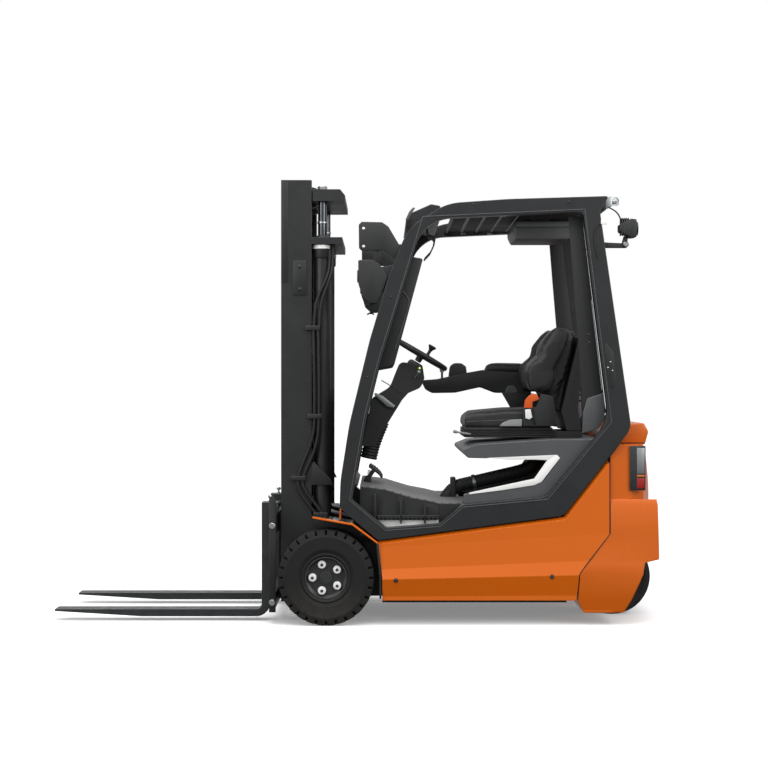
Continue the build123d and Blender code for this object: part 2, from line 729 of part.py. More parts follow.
# Carriage: two fork bars on uprights whose rollers run inside the inner rails
upright_y = inner_tip_y - mast_gap
upright_t = 30
upright_rear_x = inner_rear_x - inner_flange - mast_gap
roller_x = (inner_front_x + inner_rear_x) / 2
roller_r = (inner_rear_x - inner_front_x) / 2 - inner_flange - roller_gap
roller_in_y = inner_tip_y + 4
roller_out_y = inner_out_y - inner_web - roller_gap
bar_rear_x = carriage_face_x + bar_t
with BuildPart() as carriage_frame:
    with BuildSketch(at_y(carriage_w / 2)):
        add(polygon([
            (carriage_face_x, upper_bar_z), (bar_rear_x, upper_bar_z), (bar_rear_x, upper_bar_z + upper_bar_h),
            (carriage_face_x + bar_lip, upper_bar_z + upper_bar_h),
            (carriage_face_x + bar_lip, upper_bar_z + upper_bar_h + lip_h),
            (carriage_face_x, upper_bar_z + upper_bar_h + lip_h),
        ]))
        add(polygon([
            (carriage_face_x, lower_bar_z - lip_h), (carriage_face_x + bar_lip, lower_bar_z - lip_h),
            (carriage_face_x + bar_lip, lower_bar_z), (bar_rear_x, lower_bar_z),
            (bar_rear_x, lower_bar_z + lower_bar_h), (carriage_face_x, lower_bar_z + lower_bar_h),
        ]))
    extrude(amount=carriage_w)
    with BuildSketch(at_y(-upright_y + upright_t)):
        add(rounded(
            [
                (bar_rear_x - 1, lower_bar_z + 10), (bar_rear_x - 1, upper_bar_z + upper_bar_h - 4),
                (roller_x - 20, 620), (upright_rear_x, 620), (upright_rear_x, 110),
            ],
            [2, 10, 20, 20, 30],
        ))
    extrude(amount=upright_t)
    mirror(about=Plane.XZ)
    with Locations((chain_front_x, 0, anchor_z - 60)):
        Box(24, 2 * upright_y, 60, align=(Align.CENTER, Align.CENTER, Align.MIN))
carriage_frame.part.label = "carriage_frame"

with BuildPart() as carriage_rollers:
    with BuildSketch(at_y(-roller_in_y)):
        with Locations((roller_x, 170), (roller_x, 560)):
            Circle(roller_r)
    extrude(amount=roller_out_y - roller_in_y)
    with BuildSketch(at_y(-upright_y)):
        with Locations((roller_x, 170), (roller_x, 560)):
            Circle(roller_r / 2)
    extrude(amount=roller_in_y - upright_y)
    mirror(about=Plane.XZ)
carriage_rollers.part.label = "carriage_rollers"

# Forks: a forged shank with hooks over both bars, and a blade that thins to its tip
shank_x = carriage_face_x - fork_t
tip_x = shank_x - fork_l
hook_x = carriage_face_x + bar_lip + hook_gap
hook_rear_x = hook_x + 14
top_hook_z = upper_bar_z + upper_bar_h + lip_h + hook_gap
low_hook_z = lower_bar_z - lip_h - hook_gap
heel_r = 60
with BuildPart() as fork_left:
    with BuildSketch(at_y(-fork_y + fork_w / 2)):
        with BuildLine():
            Polyline(
                (tip_x, blade_z), (shank_x - heel_r + fork_t, blade_z), mode=Mode.PRIVATE
            )
            Polyline((shank_x - 24, blade_z), (tip_x, blade_z), (tip_x, blade_z - 10), (tip_x + 420, blade_z - blade_t), (shank_x - 20, blade_z - blade_t))
            ThreePointArc(
                (shank_x - 20, blade_z - blade_t),
                (shank_x + fork_t - 20, blade_z - blade_t + 22),
                (carriage_face_x - 1, blade_z + 26),
            )
            Polyline((carriage_face_x - 1, blade_z + 26), (carriage_face_x - 1, shank_top_z), (shank_x, shank_top_z), (shank_x, blade_z + 24))
            ThreePointArc(
                (shank_x, blade_z + 24), (shank_x - 7, blade_z + 7), (shank_x - 24, blade_z)
            )
        make_face()
    extrude(amount=fork_w)
    with BuildSketch(at_y(-fork_y + fork_w / 2)):
        add(polygon([
            (carriage_face_x - 2, shank_top_z), (hook_rear_x, shank_top_z), (hook_rear_x, top_hook_z - lip_h + 2),
            (hook_x, top_hook_z - lip_h + 2), (hook_x, top_hook_z), (carriage_face_x - 2, top_hook_z),
        ]))
    extrude(amount=fork_w)
fork_left.part.label = "fork_left"

with BuildPart() as fork_right:
    mirror(fork_left.part, about=Plane.XZ)
fork_right.part.label = "fork_right"

# Tilt cylinders, from lugs on the chassis to lugs on the mast
tilt_l = hypot(tilt_foot_x - tilt_eye_x, tilt_eye_z - tilt_foot_z)
tilt_dir = Vector(tilt_eye_x - tilt_foot_x, 0, tilt_eye_z - tilt_foot_z).normalized()
tilt_eye_w = 36
with BuildPart() as tilt_barrels:
    for side in (-1, 1):
        foot = Vector(tilt_foot_x, side * tilt_y, tilt_foot_z)
        with Locations(Plane(origin=foot, z_dir=(0, 1, 0))):
            Cylinder(24, tilt_eye_w)
        with Locations(Plane(origin=foot, z_dir=tilt_dir)):
            with Locations((0, 0, 18)):
                Cylinder(tilt_barrel_od / 2, tilt_l * 0.62 - 18, align=(Align.CENTER, Align.CENTER, Align.MIN))
            with Locations((0, 0, 60)):
                Cylinder(
                    tilt_rod_od / 2 + 3, tilt_l, align=(Align.CENTER, Align.CENTER, Align.MIN), mode=Mode.SUBTRACT
                )
        with Locations(Plane(origin=foot, z_dir=(0, 1, 0))):
            Cylinder(tilt_pin_d / 2 + 0.5, tilt_eye_w * 2, mode=Mode.SUBTRACT)
tilt_barrels.part.label = "tilt_barrels"

with BuildPart() as tilt_rods:
    for side in (-1, 1):
        foot = Vector(tilt_foot_x, side * tilt_y, tilt_foot_z)
        eye = Vector(tilt_eye_x, side * tilt_y, tilt_eye_z)
        with Locations(Plane(origin=eye, z_dir=(0, 1, 0))):
            Cylinder(24, tilt_eye_w)
        with Locations(Plane(origin=foot, z_dir=tilt_dir)):
            with Locations((0, 0, 110)):
                Cylinder(tilt_rod_od / 2, tilt_l - 110, align=(Align.CENTER, Align.CENTER, Align.MIN))
        with Locations(Plane(origin=eye, z_dir=(0, 1, 0))):
            Cylinder(tilt_pin_d / 2 + 4, tilt_eye_w * 2, mode=Mode.SUBTRACT)
tilt_rods.part.label = "tilt_rods"

with BuildPart() as tilt_pins:
    for side in (-1, 1):
        with Locations(Plane(origin=(tilt_foot_x, side * tilt_y, tilt_foot_z), z_dir=(0, 1, 0))):
            Cylinder(tilt_pin_d / 2, 2 * (foot_lug_gap + lug_t))
tilt_pins.part.label = "tilt_foot_pins"

with BuildPart() as mast_tilt_pins:
    for side in (-1, 1):
        with Locations(Plane(origin=(tilt_eye_x, side * tilt_y, tilt_eye_z), z_dir=(0, 1, 0))):
            Cylinder(tilt_pin_d / 2, 2 * (eye_lug_gap + lug_t))
mast_tilt_pins.part.label = "mast_tilt_pins"

pieces = [
    front_tyre_left, front_rim_left, front_tyre_right, front_rim_right, rear_tyres, rear_rims, steer_fork,
    counterweight, battery_block, chassis_frame, drive_axle, side_panel_left, side_panel_right,
    cab_frame_left, cab_frame_right, guard_roof, front_header, floor_tub, floor_mat, front_cowl, seat_deck,
    seat_base, seat_cushion, seat_backrest, seat_back_shell, steering_column, steering_wheel,
    mast_outer_frame, lift_cylinders, mast_inner_frame, lift_rods, chain_pulleys, chain_front, chain_rear,
    carriage_frame, carriage_rollers, fork_left, fork_right, tilt_barrels, tilt_rods, tilt_pins, mast_tilt_pins,
]
for piece in pieces:
    export_step(piece.part, f"parts/{piece.part.label}.step")
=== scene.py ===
import json
import bmesh
import bpy
from math import cos, pi, radians, sin
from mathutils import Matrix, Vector
from mathutils.bvhtree import BVHTree


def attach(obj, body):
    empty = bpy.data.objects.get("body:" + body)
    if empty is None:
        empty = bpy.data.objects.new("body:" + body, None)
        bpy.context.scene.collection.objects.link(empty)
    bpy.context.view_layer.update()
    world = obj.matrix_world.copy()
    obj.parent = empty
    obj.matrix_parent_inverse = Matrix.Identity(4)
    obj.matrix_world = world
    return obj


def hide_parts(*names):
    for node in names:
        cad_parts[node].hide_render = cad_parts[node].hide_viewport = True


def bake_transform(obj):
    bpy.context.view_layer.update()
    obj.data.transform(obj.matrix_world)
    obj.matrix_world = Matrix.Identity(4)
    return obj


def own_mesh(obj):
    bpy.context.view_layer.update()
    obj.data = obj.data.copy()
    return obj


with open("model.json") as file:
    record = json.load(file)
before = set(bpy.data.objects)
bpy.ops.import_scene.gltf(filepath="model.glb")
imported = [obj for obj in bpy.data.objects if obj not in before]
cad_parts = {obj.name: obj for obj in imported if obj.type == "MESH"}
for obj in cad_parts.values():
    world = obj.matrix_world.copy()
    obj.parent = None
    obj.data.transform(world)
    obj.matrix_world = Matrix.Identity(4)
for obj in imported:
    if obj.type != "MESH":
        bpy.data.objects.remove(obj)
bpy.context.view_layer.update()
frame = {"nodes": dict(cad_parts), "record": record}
print("frame loaded:", len(frame["nodes"]), "nodes")

# Camera, level and square to the truck's left side, at half its height
cameraView = {"place": (0.134, -8.0, 1.148), "lens": 73.97, "sensor": 36}
cameraData = bpy.data.cameras.new("photoCamera")
cameraData.lens = cameraView["lens"]
cameraData.sensor_width = cameraView["sensor"]
camera = bpy.data.objects.new("photoCamera", cameraData)
camera.location = cameraView["place"]
camera.rotation_euler = (radians(90), 0, 0)
bpy.context.scene.collection.objects.link(camera)
bpy.context.scene.camera = camera


# Colours, nodes and finishes

def linear(hexColour):
    # sRGB hex to the linear colour that the shader wants
    parts = [int(hexColour[i:i + 2], 16) / 255 for i in (1, 3, 5)]
    return tuple(c / 12.92 if c <= 0.04045 else ((c + 0.055) / 1.055) ** 2.4 for c in parts) + (1,)


def addNode(tree, kind, settings=None, **inputs):
    # Adds one node; an input is a value, or a (node, output) pair that it is linked to
    node = tree.nodes.new(kind)
    for key, value in (settings or {}).items():
        setattr(node, key, value)
    for key, value in inputs.items():
        socket = node.inputs[int(key[1:])] if key[0] == "i" and key[1:].isdigit() else node.inputs[key]
        if isinstance(value, tuple) and len(value) == 2 and hasattr(value[0], "outputs"):
            tree.links.new(value[0].outputs[value[1]], socket)
        else:
            socket.default_value = value
    return node


def newFinish(name, look):
    # A surface: two close tones in patches, a fine grain in the relief, softer edges in an edge colour that is partly
    # wear and partly painted highlight, and dust low down
    material = bpy.data.materials.new(name)
    material.use_nodes = True
    tree = material.node_tree
    shader = tree.nodes["Principled BSDF"]
    shader.inputs["Metallic"].default_value = look.get("metal", 0)
    shader.inputs["Coat Weight"].default_value = look.get("coat", 0)
    shader.inputs["Coat Roughness"].default_value = 0.12
    shader.inputs["Specular IOR Level"].default_value = look.get("gloss", 0.5)
    place = addNode(tree, "ShaderNodeTexCoord")
    patches = addNode(tree, "ShaderNodeTexNoise", i2=1000 / look["patchMm"], i3=3.0, i4=0.6)
    tree.links.new(place.outputs["Object"], patches.inputs["Vector"])
    tone = addNode(
        tree, "ShaderNodeMix", {"data_type": "RGBA"}, i0=(patches, 0), i6=linear(look["colour"]),
        i7=linear(look["shade"]),
    )
    # Broken edges take the edge colour: partly wear, partly a painted highlight
    soft = addNode(tree, "ShaderNodeBevel", {"samples": 4}, Radius=look.get("edgeMm", 2.5) / 1000)
    plain = addNode(tree, "ShaderNodeNewGeometry")
    facing = addNode(tree, "ShaderNodeVectorMath", {"operation": "DOT_PRODUCT"}, i0=(soft, 0), i1=(plain, 3))
    edge = addNode(tree, "ShaderNodeMapRange", i0=(facing, 1), i1=0.985, i2=0.80, i3=0.0, i4=look.get("wear", 0.5))
    edgeWornAndLit = addNode(
        tree, "ShaderNodeMix", {"data_type": "RGBA"}, i0=(edge, 0), i6=(tone, 2), i7=linear(look["edge"]),
    )
    colour = (edgeWornAndLit, 2)
    if "dust" in look:
        # Floor dust lies thickest near the ground
        height = addNode(tree, "ShaderNodeSeparateXYZ", i0=(place, 3))
        low = addNode(tree, "ShaderNodeMapRange", i0=(height, 2), i1=0.0, i2=look["dustTop"], i3=look["dust"], i4=0.0)
        spread = addNode(tree, "ShaderNodeMath", {"operation": "MULTIPLY"}, i0=(low, 0), i1=(patches, 0))
        dusty = addNode(
            tree, "ShaderNodeMix", {"data_type": "RGBA"}, i0=(spread, 0), i6=colour, i7=linear("#8d8780"),
        )
        colour = (dusty, 2)
    if "linerY" in look:
        across = addNode(tree, "ShaderNodeSeparateXYZ", i0=(place, 3))
        inward = addNode(tree, "ShaderNodeMath", {"operation": "ABSOLUTE"}, i0=(across, 1))
        inside = addNode(tree, "ShaderNodeMath", {"operation": "LESS_THAN"}, i0=(inward, 0), i1=look["linerY"])
        lined = addNode(
            tree, "ShaderNodeMix", {"data_type": "RGBA"}, i0=(inside, 0), i6=colour, i7=linear("#151516"),
        )
        colour = (lined, 2)
    tree.links.new(colour[0].outputs[colour[1]], shader.inputs["Base Color"])
    sheen = addNode(
        tree, "ShaderNodeMapRange", i0=(patches, 0), i1=0.3, i2=0.7,
        i3=look["rough"] - look.get("spread", 0.05), i4=look["rough"] + look.get("spread", 0.05),
    )
    tree.links.new(sheen.outputs[0], shader.inputs["Roughness"])
    grainKind = look.get("grain", "ShaderNodeTexNoise")
    grain = addNode(tree, grainKind)
    grain.inputs["Scale"].default_value = 1000 / look["grainMm"]
    tree.links.new(place.outputs["Object"], grain.inputs["Vector"])
    relief = addNode(
        tree, "ShaderNodeBump", i0=look.get("relief", 0.25), i1=look["grainMm"] / 4000, i3=(grain, 0), i4=(soft, 0),
    )
    tree.links.new(relief.outputs[0], shader.inputs["Normal"])
    return material


# Each finish's edge colour is partly wear and partly painted highlight
finishLooks = {
    # Two-pack orange enamel sprayed on steel: deep, even and glossy, with a paler painted highlight where an edge turns
    "orangeEnamel": {"colour": "#d7660a", "shade": "#d16108", "edge": "#ea8438", "patchMm": 220, "grainMm": 1.6,
                     "relief": 0.05, "rough": 0.26, "coat": 0.2, "gloss": 0.35, "edgeMm": 5, "wear": 0.6},
    # The same enamel on a sand casting: the mould's skin shows through as a soft pebble
    "orangeCasting": {"colour": "#d06209", "shade": "#c95b06", "edge": "#e67f34", "patchMm": 160, "grainMm": 7,
                      "relief": 0.1, "rough": 0.30, "coat": 0.2, "gloss": 0.35, "edgeMm": 8, "wear": 0.6},
    # Fender pressings: enamelled lip outside, black liner over the wheel
    "fenderEnamel": {"colour": "#d7660a", "shade": "#d16108", "edge": "#ea8438", "patchMm": 220, "grainMm": 1.6,
                     "relief": 0.05, "rough": 0.3, "coat": 0.2, "gloss": 0.35, "edgeMm": 3, "wear": 0.5,
                     "linerY": 0.512},
    # Black powder coat on the welded cab ring: satin, with a fine orange peel
    "cabPowderCoat": {"colour": "#1b1c1d", "shade": "#222426", "edge": "#6c7073", "patchMm": 120, "grainMm": 2.4,
                      "relief": 0.22, "rough": 0.36, "edgeMm": 6, "wear": 0.5},
    # Lighter grey bead on the black cab ring and front pillar: a painted highlight along their chamfers
    "paintBead": {"colour": "#4c4e50", "shade": "#3f4142", "edge": "#7c7e80", "patchMm": 60, "grainMm": 2,
                  "relief": 0.1, "rough": 0.3, "wear": 0.5},
    # Black paint on rolled mast channels: mill scale shows as faint long patches
    "mastPaint": {"colour": "#171819", "shade": "#212224", "edge": "#606265", "patchMm": 90, "grainMm": 3.5,
                  "relief": 0.25, "rough": 0.42, "edgeMm": 3, "wear": 0.6},
    "chassisPaint": {"colour": "#121213", "shade": "#1a1919", "edge": "#3c3c3c", "patchMm": 70, "grainMm": 4,
                     "relief": 0.3, "rough": 0.55, "wear": 0.5, "dust": 0.15, "dustTop": 0.3},
    # Black paint scraped by pallets, down to grey steel on the edges
    "forkPaint": {"colour": "#1d1e1f", "shade": "#303234", "edge": "#9a9da0", "patchMm": 45, "grainMm": 2.5,
                  "relief": 0.3, "rough": 0.40, "spread": 0.12, "edgeMm": 2.5, "wear": 0.9},
    "rimPaint": {"colour": "#252627", "shade": "#2f3031", "edge": "#808284", "patchMm": 40, "grainMm": 2,
                 "relief": 0.2, "rough": 0.38, "edgeMm": 2, "wear": 0.6},
    # Moulded polypropylene with a spark-eroded leather grain: dull and a little grey
    "mouldedPlastic": {"colour": "#1a1b1c", "shade": "#202122", "edge": "#505255", "patchMm": 150, "grainMm": 2.2,
                       "grain": "ShaderNodeTexVoronoi", "relief": 0.35, "rough": 0.55, "edgeMm": 4, "wear": 0.5},
    "deckPlastic": {"colour": "#46484a", "shade": "#4e5052", "edge": "#8f9193", "patchMm": 150, "grainMm": 2.2,
                    "grain": "ShaderNodeTexVoronoi", "relief": 0.3, "rough": 0.45, "edgeMm": 6, "wear": 0.7},
    "consolePlastic": {"colour": "#6c6d6f", "shade": "#76787a", "edge": "#a5a7a9", "patchMm": 120, "grainMm": 2.2,
                       "grain": "ShaderNodeTexVoronoi", "relief": 0.3, "rough": 0.5, "edgeMm": 4, "wear": 0.5},
    "greyPlastic": {"colour": "#8b8d8f", "shade": "#7d7f81", "edge": "#c4c6c8", "patchMm": 80, "grainMm": 2,
                    "relief": 0.2, "rough": 0.45, "edgeMm": 2, "wear": 0.6},
    "whiteTrim": {"colour": "#f4f4f2", "shade": "#ecebe8", "edge": "#ffffff", "patchMm": 90, "grainMm": 2,
                  "relief": 0.08, "rough": 0.32, "coat": 0.3, "wear": 0.5},
    # Solid rubber: charcoal, chalky and scuffed, with road dust in its low places
    "tyreRubber": {"colour": "#161616", "shade": "#1f1f1e", "edge": "#4c4b49", "patchMm": 30, "grainMm": 3,
                   "relief": 0.5, "rough": 0.75, "gloss": 0.3, "edgeMm": 3, "wear": 0.7,
                   "dust": 0.16, "dustTop": 0.2},
    "hoseRubber": {"colour": "#131313", "shade": "#1c1c1c", "edge": "#3a3a3a", "patchMm": 40, "grainMm": 1.5,
                   "relief": 0.4, "rough": 0.6, "wear": 0.3},
    # Vinyl over foam: pebbled like leather, with a low sheen on its crowns
    "seatVinyl": {"colour": "#1c1c1d", "shade": "#242425", "edge": "#4b4b4c", "patchMm": 60, "grainMm": 3.2,
                  "grain": "ShaderNodeTexVoronoi", "relief": 0.5, "rough": 0.45, "edgeMm": 2, "wear": 0.25},
    "stitchThread": {"colour": "#4b4b4d", "shade": "#3c3c3e", "edge": "#707072", "patchMm": 20, "grainMm": 1,
                     "relief": 0.4, "rough": 0.6},
    # Hard chrome on the ram rods, filmed with oil: its colour is painted dark as a reflection of its dark surroundings
    "hardChrome": {"colour": "#5a5c5f", "shade": "#4a4c4f", "edge": "#8a8c8e", "patchMm": 60, "grainMm": 1.5,
                   "relief": 0.03, "rough": 0.22, "metal": 1, "wear": 0.2},
    # Smoked lens of the tail lamps: near black, with a wet gloss
    "smokedLens": {"colour": "#1c1d1f", "shade": "#26282a", "edge": "#7a7d80", "patchMm": 30, "grainMm": 6,
                   "grain": "ShaderNodeTexVoronoi", "relief": 0.1, "rough": 0.08, "coat": 0.8, "wear": 0.4},
    "zincSteel": {"colour": "#b9bbbb", "shade": "#a3a6a7", "edge": "#e4e6e6", "patchMm": 14, "grainMm": 1.2,
                  "relief": 0.2, "rough": 0.34, "metal": 1, "edgeMm": 0.8, "wear": 0.6},
    # Chain plates blued and wet with oil
    "oiledChain": {"colour": "#5a5c5f", "shade": "#3f4143", "edge": "#a8aaac", "patchMm": 9, "grainMm": 1.2,
                   "relief": 0.3, "rough": 0.32, "metal": 1, "edgeMm": 0.6, "wear": 0.6},
    "batteryPaint": {"colour": "#3b3d40", "shade": "#46484b", "edge": "#7b7d80", "patchMm": 110, "grainMm": 3,
                     "relief": 0.2, "rough": 0.5, "wear": 0.6},
    "buckleOrange": {"colour": "#dc5a0c", "shade": "#cc5008", "edge": "#f59a6a", "patchMm": 30, "grainMm": 1.5,
                     "relief": 0.1, "rough": 0.4, "edgeMm": 1.5},
    "beltWeb": {"colour": "#141415", "shade": "#1d1d1e", "edge": "#38383a", "patchMm": 8, "grainMm": 1.8,
                "relief": 0.6, "rough": 0.75},
    "redLens": {"colour": "#a30f0c", "shade": "#8a0b09", "edge": "#d8443e", "patchMm": 20, "grainMm": 4,
                "grain": "ShaderNodeTexVoronoi", "relief": 0.5, "rough": 0.12, "coat": 0.6},
    "amberLens": {"colour": "#c96a10", "shade": "#b85c0a", "edge": "#eda55a", "patchMm": 20, "grainMm": 4,
                  "grain": "ShaderNodeTexVoronoi", "relief": 0.5, "rough": 0.12, "coat": 0.6},
}
finishes = {name: newFinish(name, look) for name, look in finishLooks.items()}


def newMatFinish(name):
    # Ribbed rubber matting: grey with dust, its ribs slantwise at 28 mm, the grooves between them painted dark as shade
    material = newFinish(name, {
        "colour": "#6a6a6a", "shade": "#7c7c7b", "edge": "#8c8c8d", "patchMm": 60, "grainMm": 2,
        "relief": 0.3, "rough": 0.6, "wear": 0.4,
    })
    tree = material.node_tree
    place = addNode(tree, "ShaderNodeTexCoord")
    turned = addNode(tree, "ShaderNodeMapping", i0=(place, 3), i2=(0, 0, radians(45)))
    ribs = addNode(tree, "ShaderNodeTexWave", i1=1000 / 28 / 20 * 6.28, i2=0.0)
    tree.links.new(turned.outputs[0], ribs.inputs[0])
    shader = tree.nodes["Principled BSDF"]
    under = shader.inputs["Normal"].links[0].from_node
    raised = addNode(tree, "ShaderNodeBump", i0=0.9, i1=0.003, i3=(ribs, 1), i4=(under, 0))
    tree.links.new(raised.outputs[0], shader.inputs["Normal"])
    plain = shader.inputs["Base Color"].links[0].from_node
    # Painted shade: the grooves between the ribs are darkened towards near black
    grooveShade = addNode(tree, "ShaderNodeMapRange", i0=(ribs, 1), i1=0.0, i2=0.25, i3=0.75, i4=0.0)
    grooveShadedColour = addNode(
        tree, "ShaderNodeMix", {"data_type": "RGBA"}, i0=(grooveShade, 0), i6=(plain, 2), i7=linear("#2b2b2b"),
    )
    tree.links.new(grooveShadedColour.outputs[2], shader.inputs["Base Color"])
    return material


def newTyreFinish(name, axleX, axleZ, ringR):
    # The rubber above, with the mould's rings round the axle on the side walls
    material = newFinish(name, finishLooks["tyreRubber"])
    tree = material.node_tree
    place = addNode(tree, "ShaderNodeTexCoord")
    centred = addNode(tree, "ShaderNodeMapping", i0=(place, 3), i1=(-axleX, 0, -axleZ), i3=(1, 0, 1))
    radius = addNode(tree, "ShaderNodeVectorMath", {"operation": "LENGTH"}, i0=(centred, 0))
    outer = addNode(tree, "ShaderNodeMath", {"operation": "COMPARE"}, i0=(radius, 1), i1=ringR, i2=0.0025)
    inner = addNode(tree, "ShaderNodeMath", {"operation": "COMPARE"}, i0=(radius, 1), i1=ringR * 0.68, i2=0.003)
    proud = addNode(tree, "ShaderNodeMath", {"operation": "MAXIMUM"}, i0=(outer, 0), i1=(inner, 0))
    shader = tree.nodes["Principled BSDF"]
    under = shader.inputs["Normal"].links[0].from_node
    raised = addNode(tree, "ShaderNodeBump", i0=1.0, i1=0.003, i3=(proud, 0), i4=(under, 0))
    tree.links.new(raised.outputs[0], shader.inputs["Normal"])
    return material


def newClearFinish(name, colour, rough, glow=0.0):
    # Clear moulded acrylic, or a lit one where it glows
    material = bpy.data.materials.new(name)
    material.use_nodes = True
    shader = material.node_tree.nodes["Principled BSDF"]
    shader.inputs["Base Color"].default_value = linear(colour)
    shader.inputs["Roughness"].default_value = rough
    shader.inputs["IOR"].default_value = 1.49
    shader.inputs["Transmission Weight"].default_value = 0.0 if glow else 0.85
    shader.inputs["Emission Color"].default_value = linear(colour)
    shader.inputs["Emission Strength"].default_value = glow
    place = addNode(material.node_tree, "ShaderNodeTexCoord")
    flutes = addNode(material.node_tree, "ShaderNodeTexWave", i1=60.0, i2=0.3)
    material.node_tree.links.new(place.outputs["Object"], flutes.inputs[0])
    relief = addNode(material.node_tree, "ShaderNodeBump", i0=0.2, i1=0.001, i3=(flutes, 1))
    material.node_tree.links.new(relief.outputs[0], shader.inputs["Normal"])
    return material


frontAxle = (-0.141, 0.2285)
rearAxle = (1.272, 0.190)
finishes["floorMatting"] = newMatFinish("floorMatting")
finishes["frontTyre"] = newTyreFinish("frontTyre", *frontAxle, 0.190)
finishes["rearTyre"] = newTyreFinish("rearTyre", *rearAxle, 0.160)
finishes["clearLens"] = newClearFinish("clearLens", "#dfe3e6", 0.08)
finishes["greenLight"] = newClearFinish("greenLight", "#b6e05a", 0.3, 1.2)
print("finishes made:", len(finishes))

slotFinish = {
    "tyre": "frontTyre", "rim_black": "rimPaint", "frame_black": "chassisPaint", "body_orange": "orangeEnamel",
    "battery_grey": "batteryPaint", "cab_black": "cabPowderCoat", "plastic_black": "mouldedPlastic",
    "mat_rubber": "floorMatting", "seat_vinyl": "seatVinyl", "mast_black": "mastPaint",
    "chrome_rod": "hardChrome", "chain_steel": "oiledChain", "fork_black": "forkPaint",
    "lamp_clear": "clearLens", "bright_metal": "zincSteel", "hose_rubber": "hoseRubber",
}
nodeFinish = {
    "rear_tyres": "rearTyre", "counterweight": "orangeCasting", "seat_deck": "deckPlastic",
    "carriage_rollers": "zincSteel", "fenders": "fenderEnamel", "tail_lamps": "smokedLens",
    "overhead_console": "consolePlastic",
}
for part in frame["record"]["subparts"]:
    node = frame["nodes"][part["node"]]
    finish = nodeFinish.get(part["node"], slotFinish[part["material_slot"]])
    node.data.materials.clear()
    node.data.materials.append(finishes[finish])


# Making and fitting pieces; sizes and places below are in millimetres, in the truck's own frame

def toMetres(point):
    return Vector(point) / 1000


def meshObject(name, form):
    # Closes a form into a piece at the origin, smooth but for its sharper edges
    bmesh.ops.recalc_face_normals(form, faces=form.faces[:])
    mesh = bpy.data.meshes.new(name)
    form.to_mesh(mesh)
    form.free()
    for face in mesh.polygons:
        face.use_smooth = True
    mesh.set_sharp_from_angle(angle=radians(35))
    piece = bpy.data.objects.new(name, mesh)
    bpy.context.scene.collection.objects.link(piece)
    return piece


def plate(name, outline, low, high, bevel=1.0):
    # A lengthways outline, as (x, z), from one y to the other, with its edges broken
    form = bmesh.new()
    ends = [[form.verts.new(toMetres((x, y, z))) for x, z in outline] for y in (low, high)]
    count = len(outline)
    for end in ends:
        form.faces.new(end)
    for i in range(count):
        form.faces.new((ends[0][i], ends[0][(i + 1) % count], ends[1][(i + 1) % count], ends[1][i]))
    bmesh.ops.recalc_face_normals(form, faces=form.faces[:])
    if bevel:
        bmesh.ops.bevel(
            form, geom=form.edges[:], offset=bevel / 1000, segments=2, profile=0.6, affect="EDGES",
            clamp_overlap=True,
        )
    return meshObject(name, form)


def block(name, low, high, bevel=1.0):
    # A block between two corners
    outline = [(low[0], low[2]), (high[0], low[2]), (high[0], high[2]), (low[0], high[2])]
    return plate(name, outline, low[1], high[1], bevel)


def lathe(name, profile, centre, axis, steps=32, closed=False):
    # Turns (along, radius) pairs about an axis; a radius of 0 closes an end to a point
    turn = Vector((0, 0, 1)).rotation_difference(Vector(axis)).to_matrix()
    form = bmesh.new()
    rings = []
    for along, radius in profile:
        angles = [0] if radius == 0 else [2 * pi * i / steps for i in range(steps)]
        spots = [turn @ Vector((radius * cos(a), radius * sin(a), along)) + Vector(centre) for a in angles]
        rings.append([form.verts.new(spot / 1000) for spot in spots])
    pairs = list(zip(rings, rings[1:])) + ([(rings[-1], rings[0])] if closed else [])
    for lower, upper in pairs:
        for i in range(steps):
            j = (i + 1) % steps
            corners = [lower[i % len(lower)], lower[j % len(lower)], upper[j % len(upper)], upper[i % len(upper)]]
            corners = list(dict.fromkeys(corners))
            if len(corners) > 2:
                form.faces.new(corners)
    if not closed:
        for end in (rings[0], rings[-1]):
            if len(end) > 1:
                form.faces.new(end)
    return meshObject(name, form)


def smoothPath(name, points):
    # Reads the points of a smooth line through the route, with no thickness
    curve = bpy.data.curves.new(name, "CURVE")
    curve.dimensions = "3D"
    curve.resolution_u = 8
    spline = curve.splines.new("NURBS")
    spline.points.add(len(points) - 1)
    for spot, point in zip(spline.points, points):
        spot.co = (*toMetres(point), 1)
    spline.order_u = 3
    spline.use_endpoint_u = True
    holder = bpy.data.objects.new(name, curve)
    bpy.context.scene.collection.objects.link(holder)
    line = bpy.data.meshes.new_from_object(holder)
    path = [vert.co.copy() for vert in line.vertices]
    bpy.data.objects.remove(holder)
    return path


def tube(name, points, radius, sides=10, ribMm=0, ribDepth=0):
    # A round bar or hose along a smooth route, ribbed like a bellows where it has a rib pitch
    path = smoothPath(name, points)
    if ribMm:
        spaced = [path[0]]
        for spot in path[1:]:
            while (spot - spaced[-1]).length > ribMm / 2000:
                spaced.append(spaced[-1] + (spot - spaced[-1]).normalized() * ribMm / 2000)
        path = spaced
    form = bmesh.new()
    across = None
    rings = []
    for i, spot in enumerate(path):
        ahead = (path[min(i + 1, len(path) - 1)] - path[max(i - 1, 0)]).normalized()
        across = (across or ahead.orthogonal())
        across = (across - ahead * across.dot(ahead)).normalized()
        third = ahead.cross(across)
        reach = (radius - (ribDepth if ribMm and i % 2 else 0)) / 1000
        angles = [2 * pi * k / sides for k in range(sides)]
        rings.append([form.verts.new(spot + (across * cos(a) + third * sin(a)) * reach) for a in angles])
    for lower, upper in zip(rings, rings[1:]):
        for k in range(sides):
            form.faces.new((lower[k], lower[(k + 1) % sides], upper[(k + 1) % sides], upper[k]))
    form.faces.new(rings[0])
    form.faces.new(rings[-1])
    return meshObject(name, form)


def merge(name, parts):
    # Joins loose parts of one piece into one mesh
    form = bmesh.new()
    for part in parts:
        form.from_mesh(part.data)
        bpy.data.objects.remove(part)
    return meshObject(name, form)


def fit(piece, body, finish):
    # Gives a piece its surface and the body that it moves with
    piece.data.materials.clear()
    piece.data.materials.append(finishes[finish])
    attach(piece, body)
    return piece


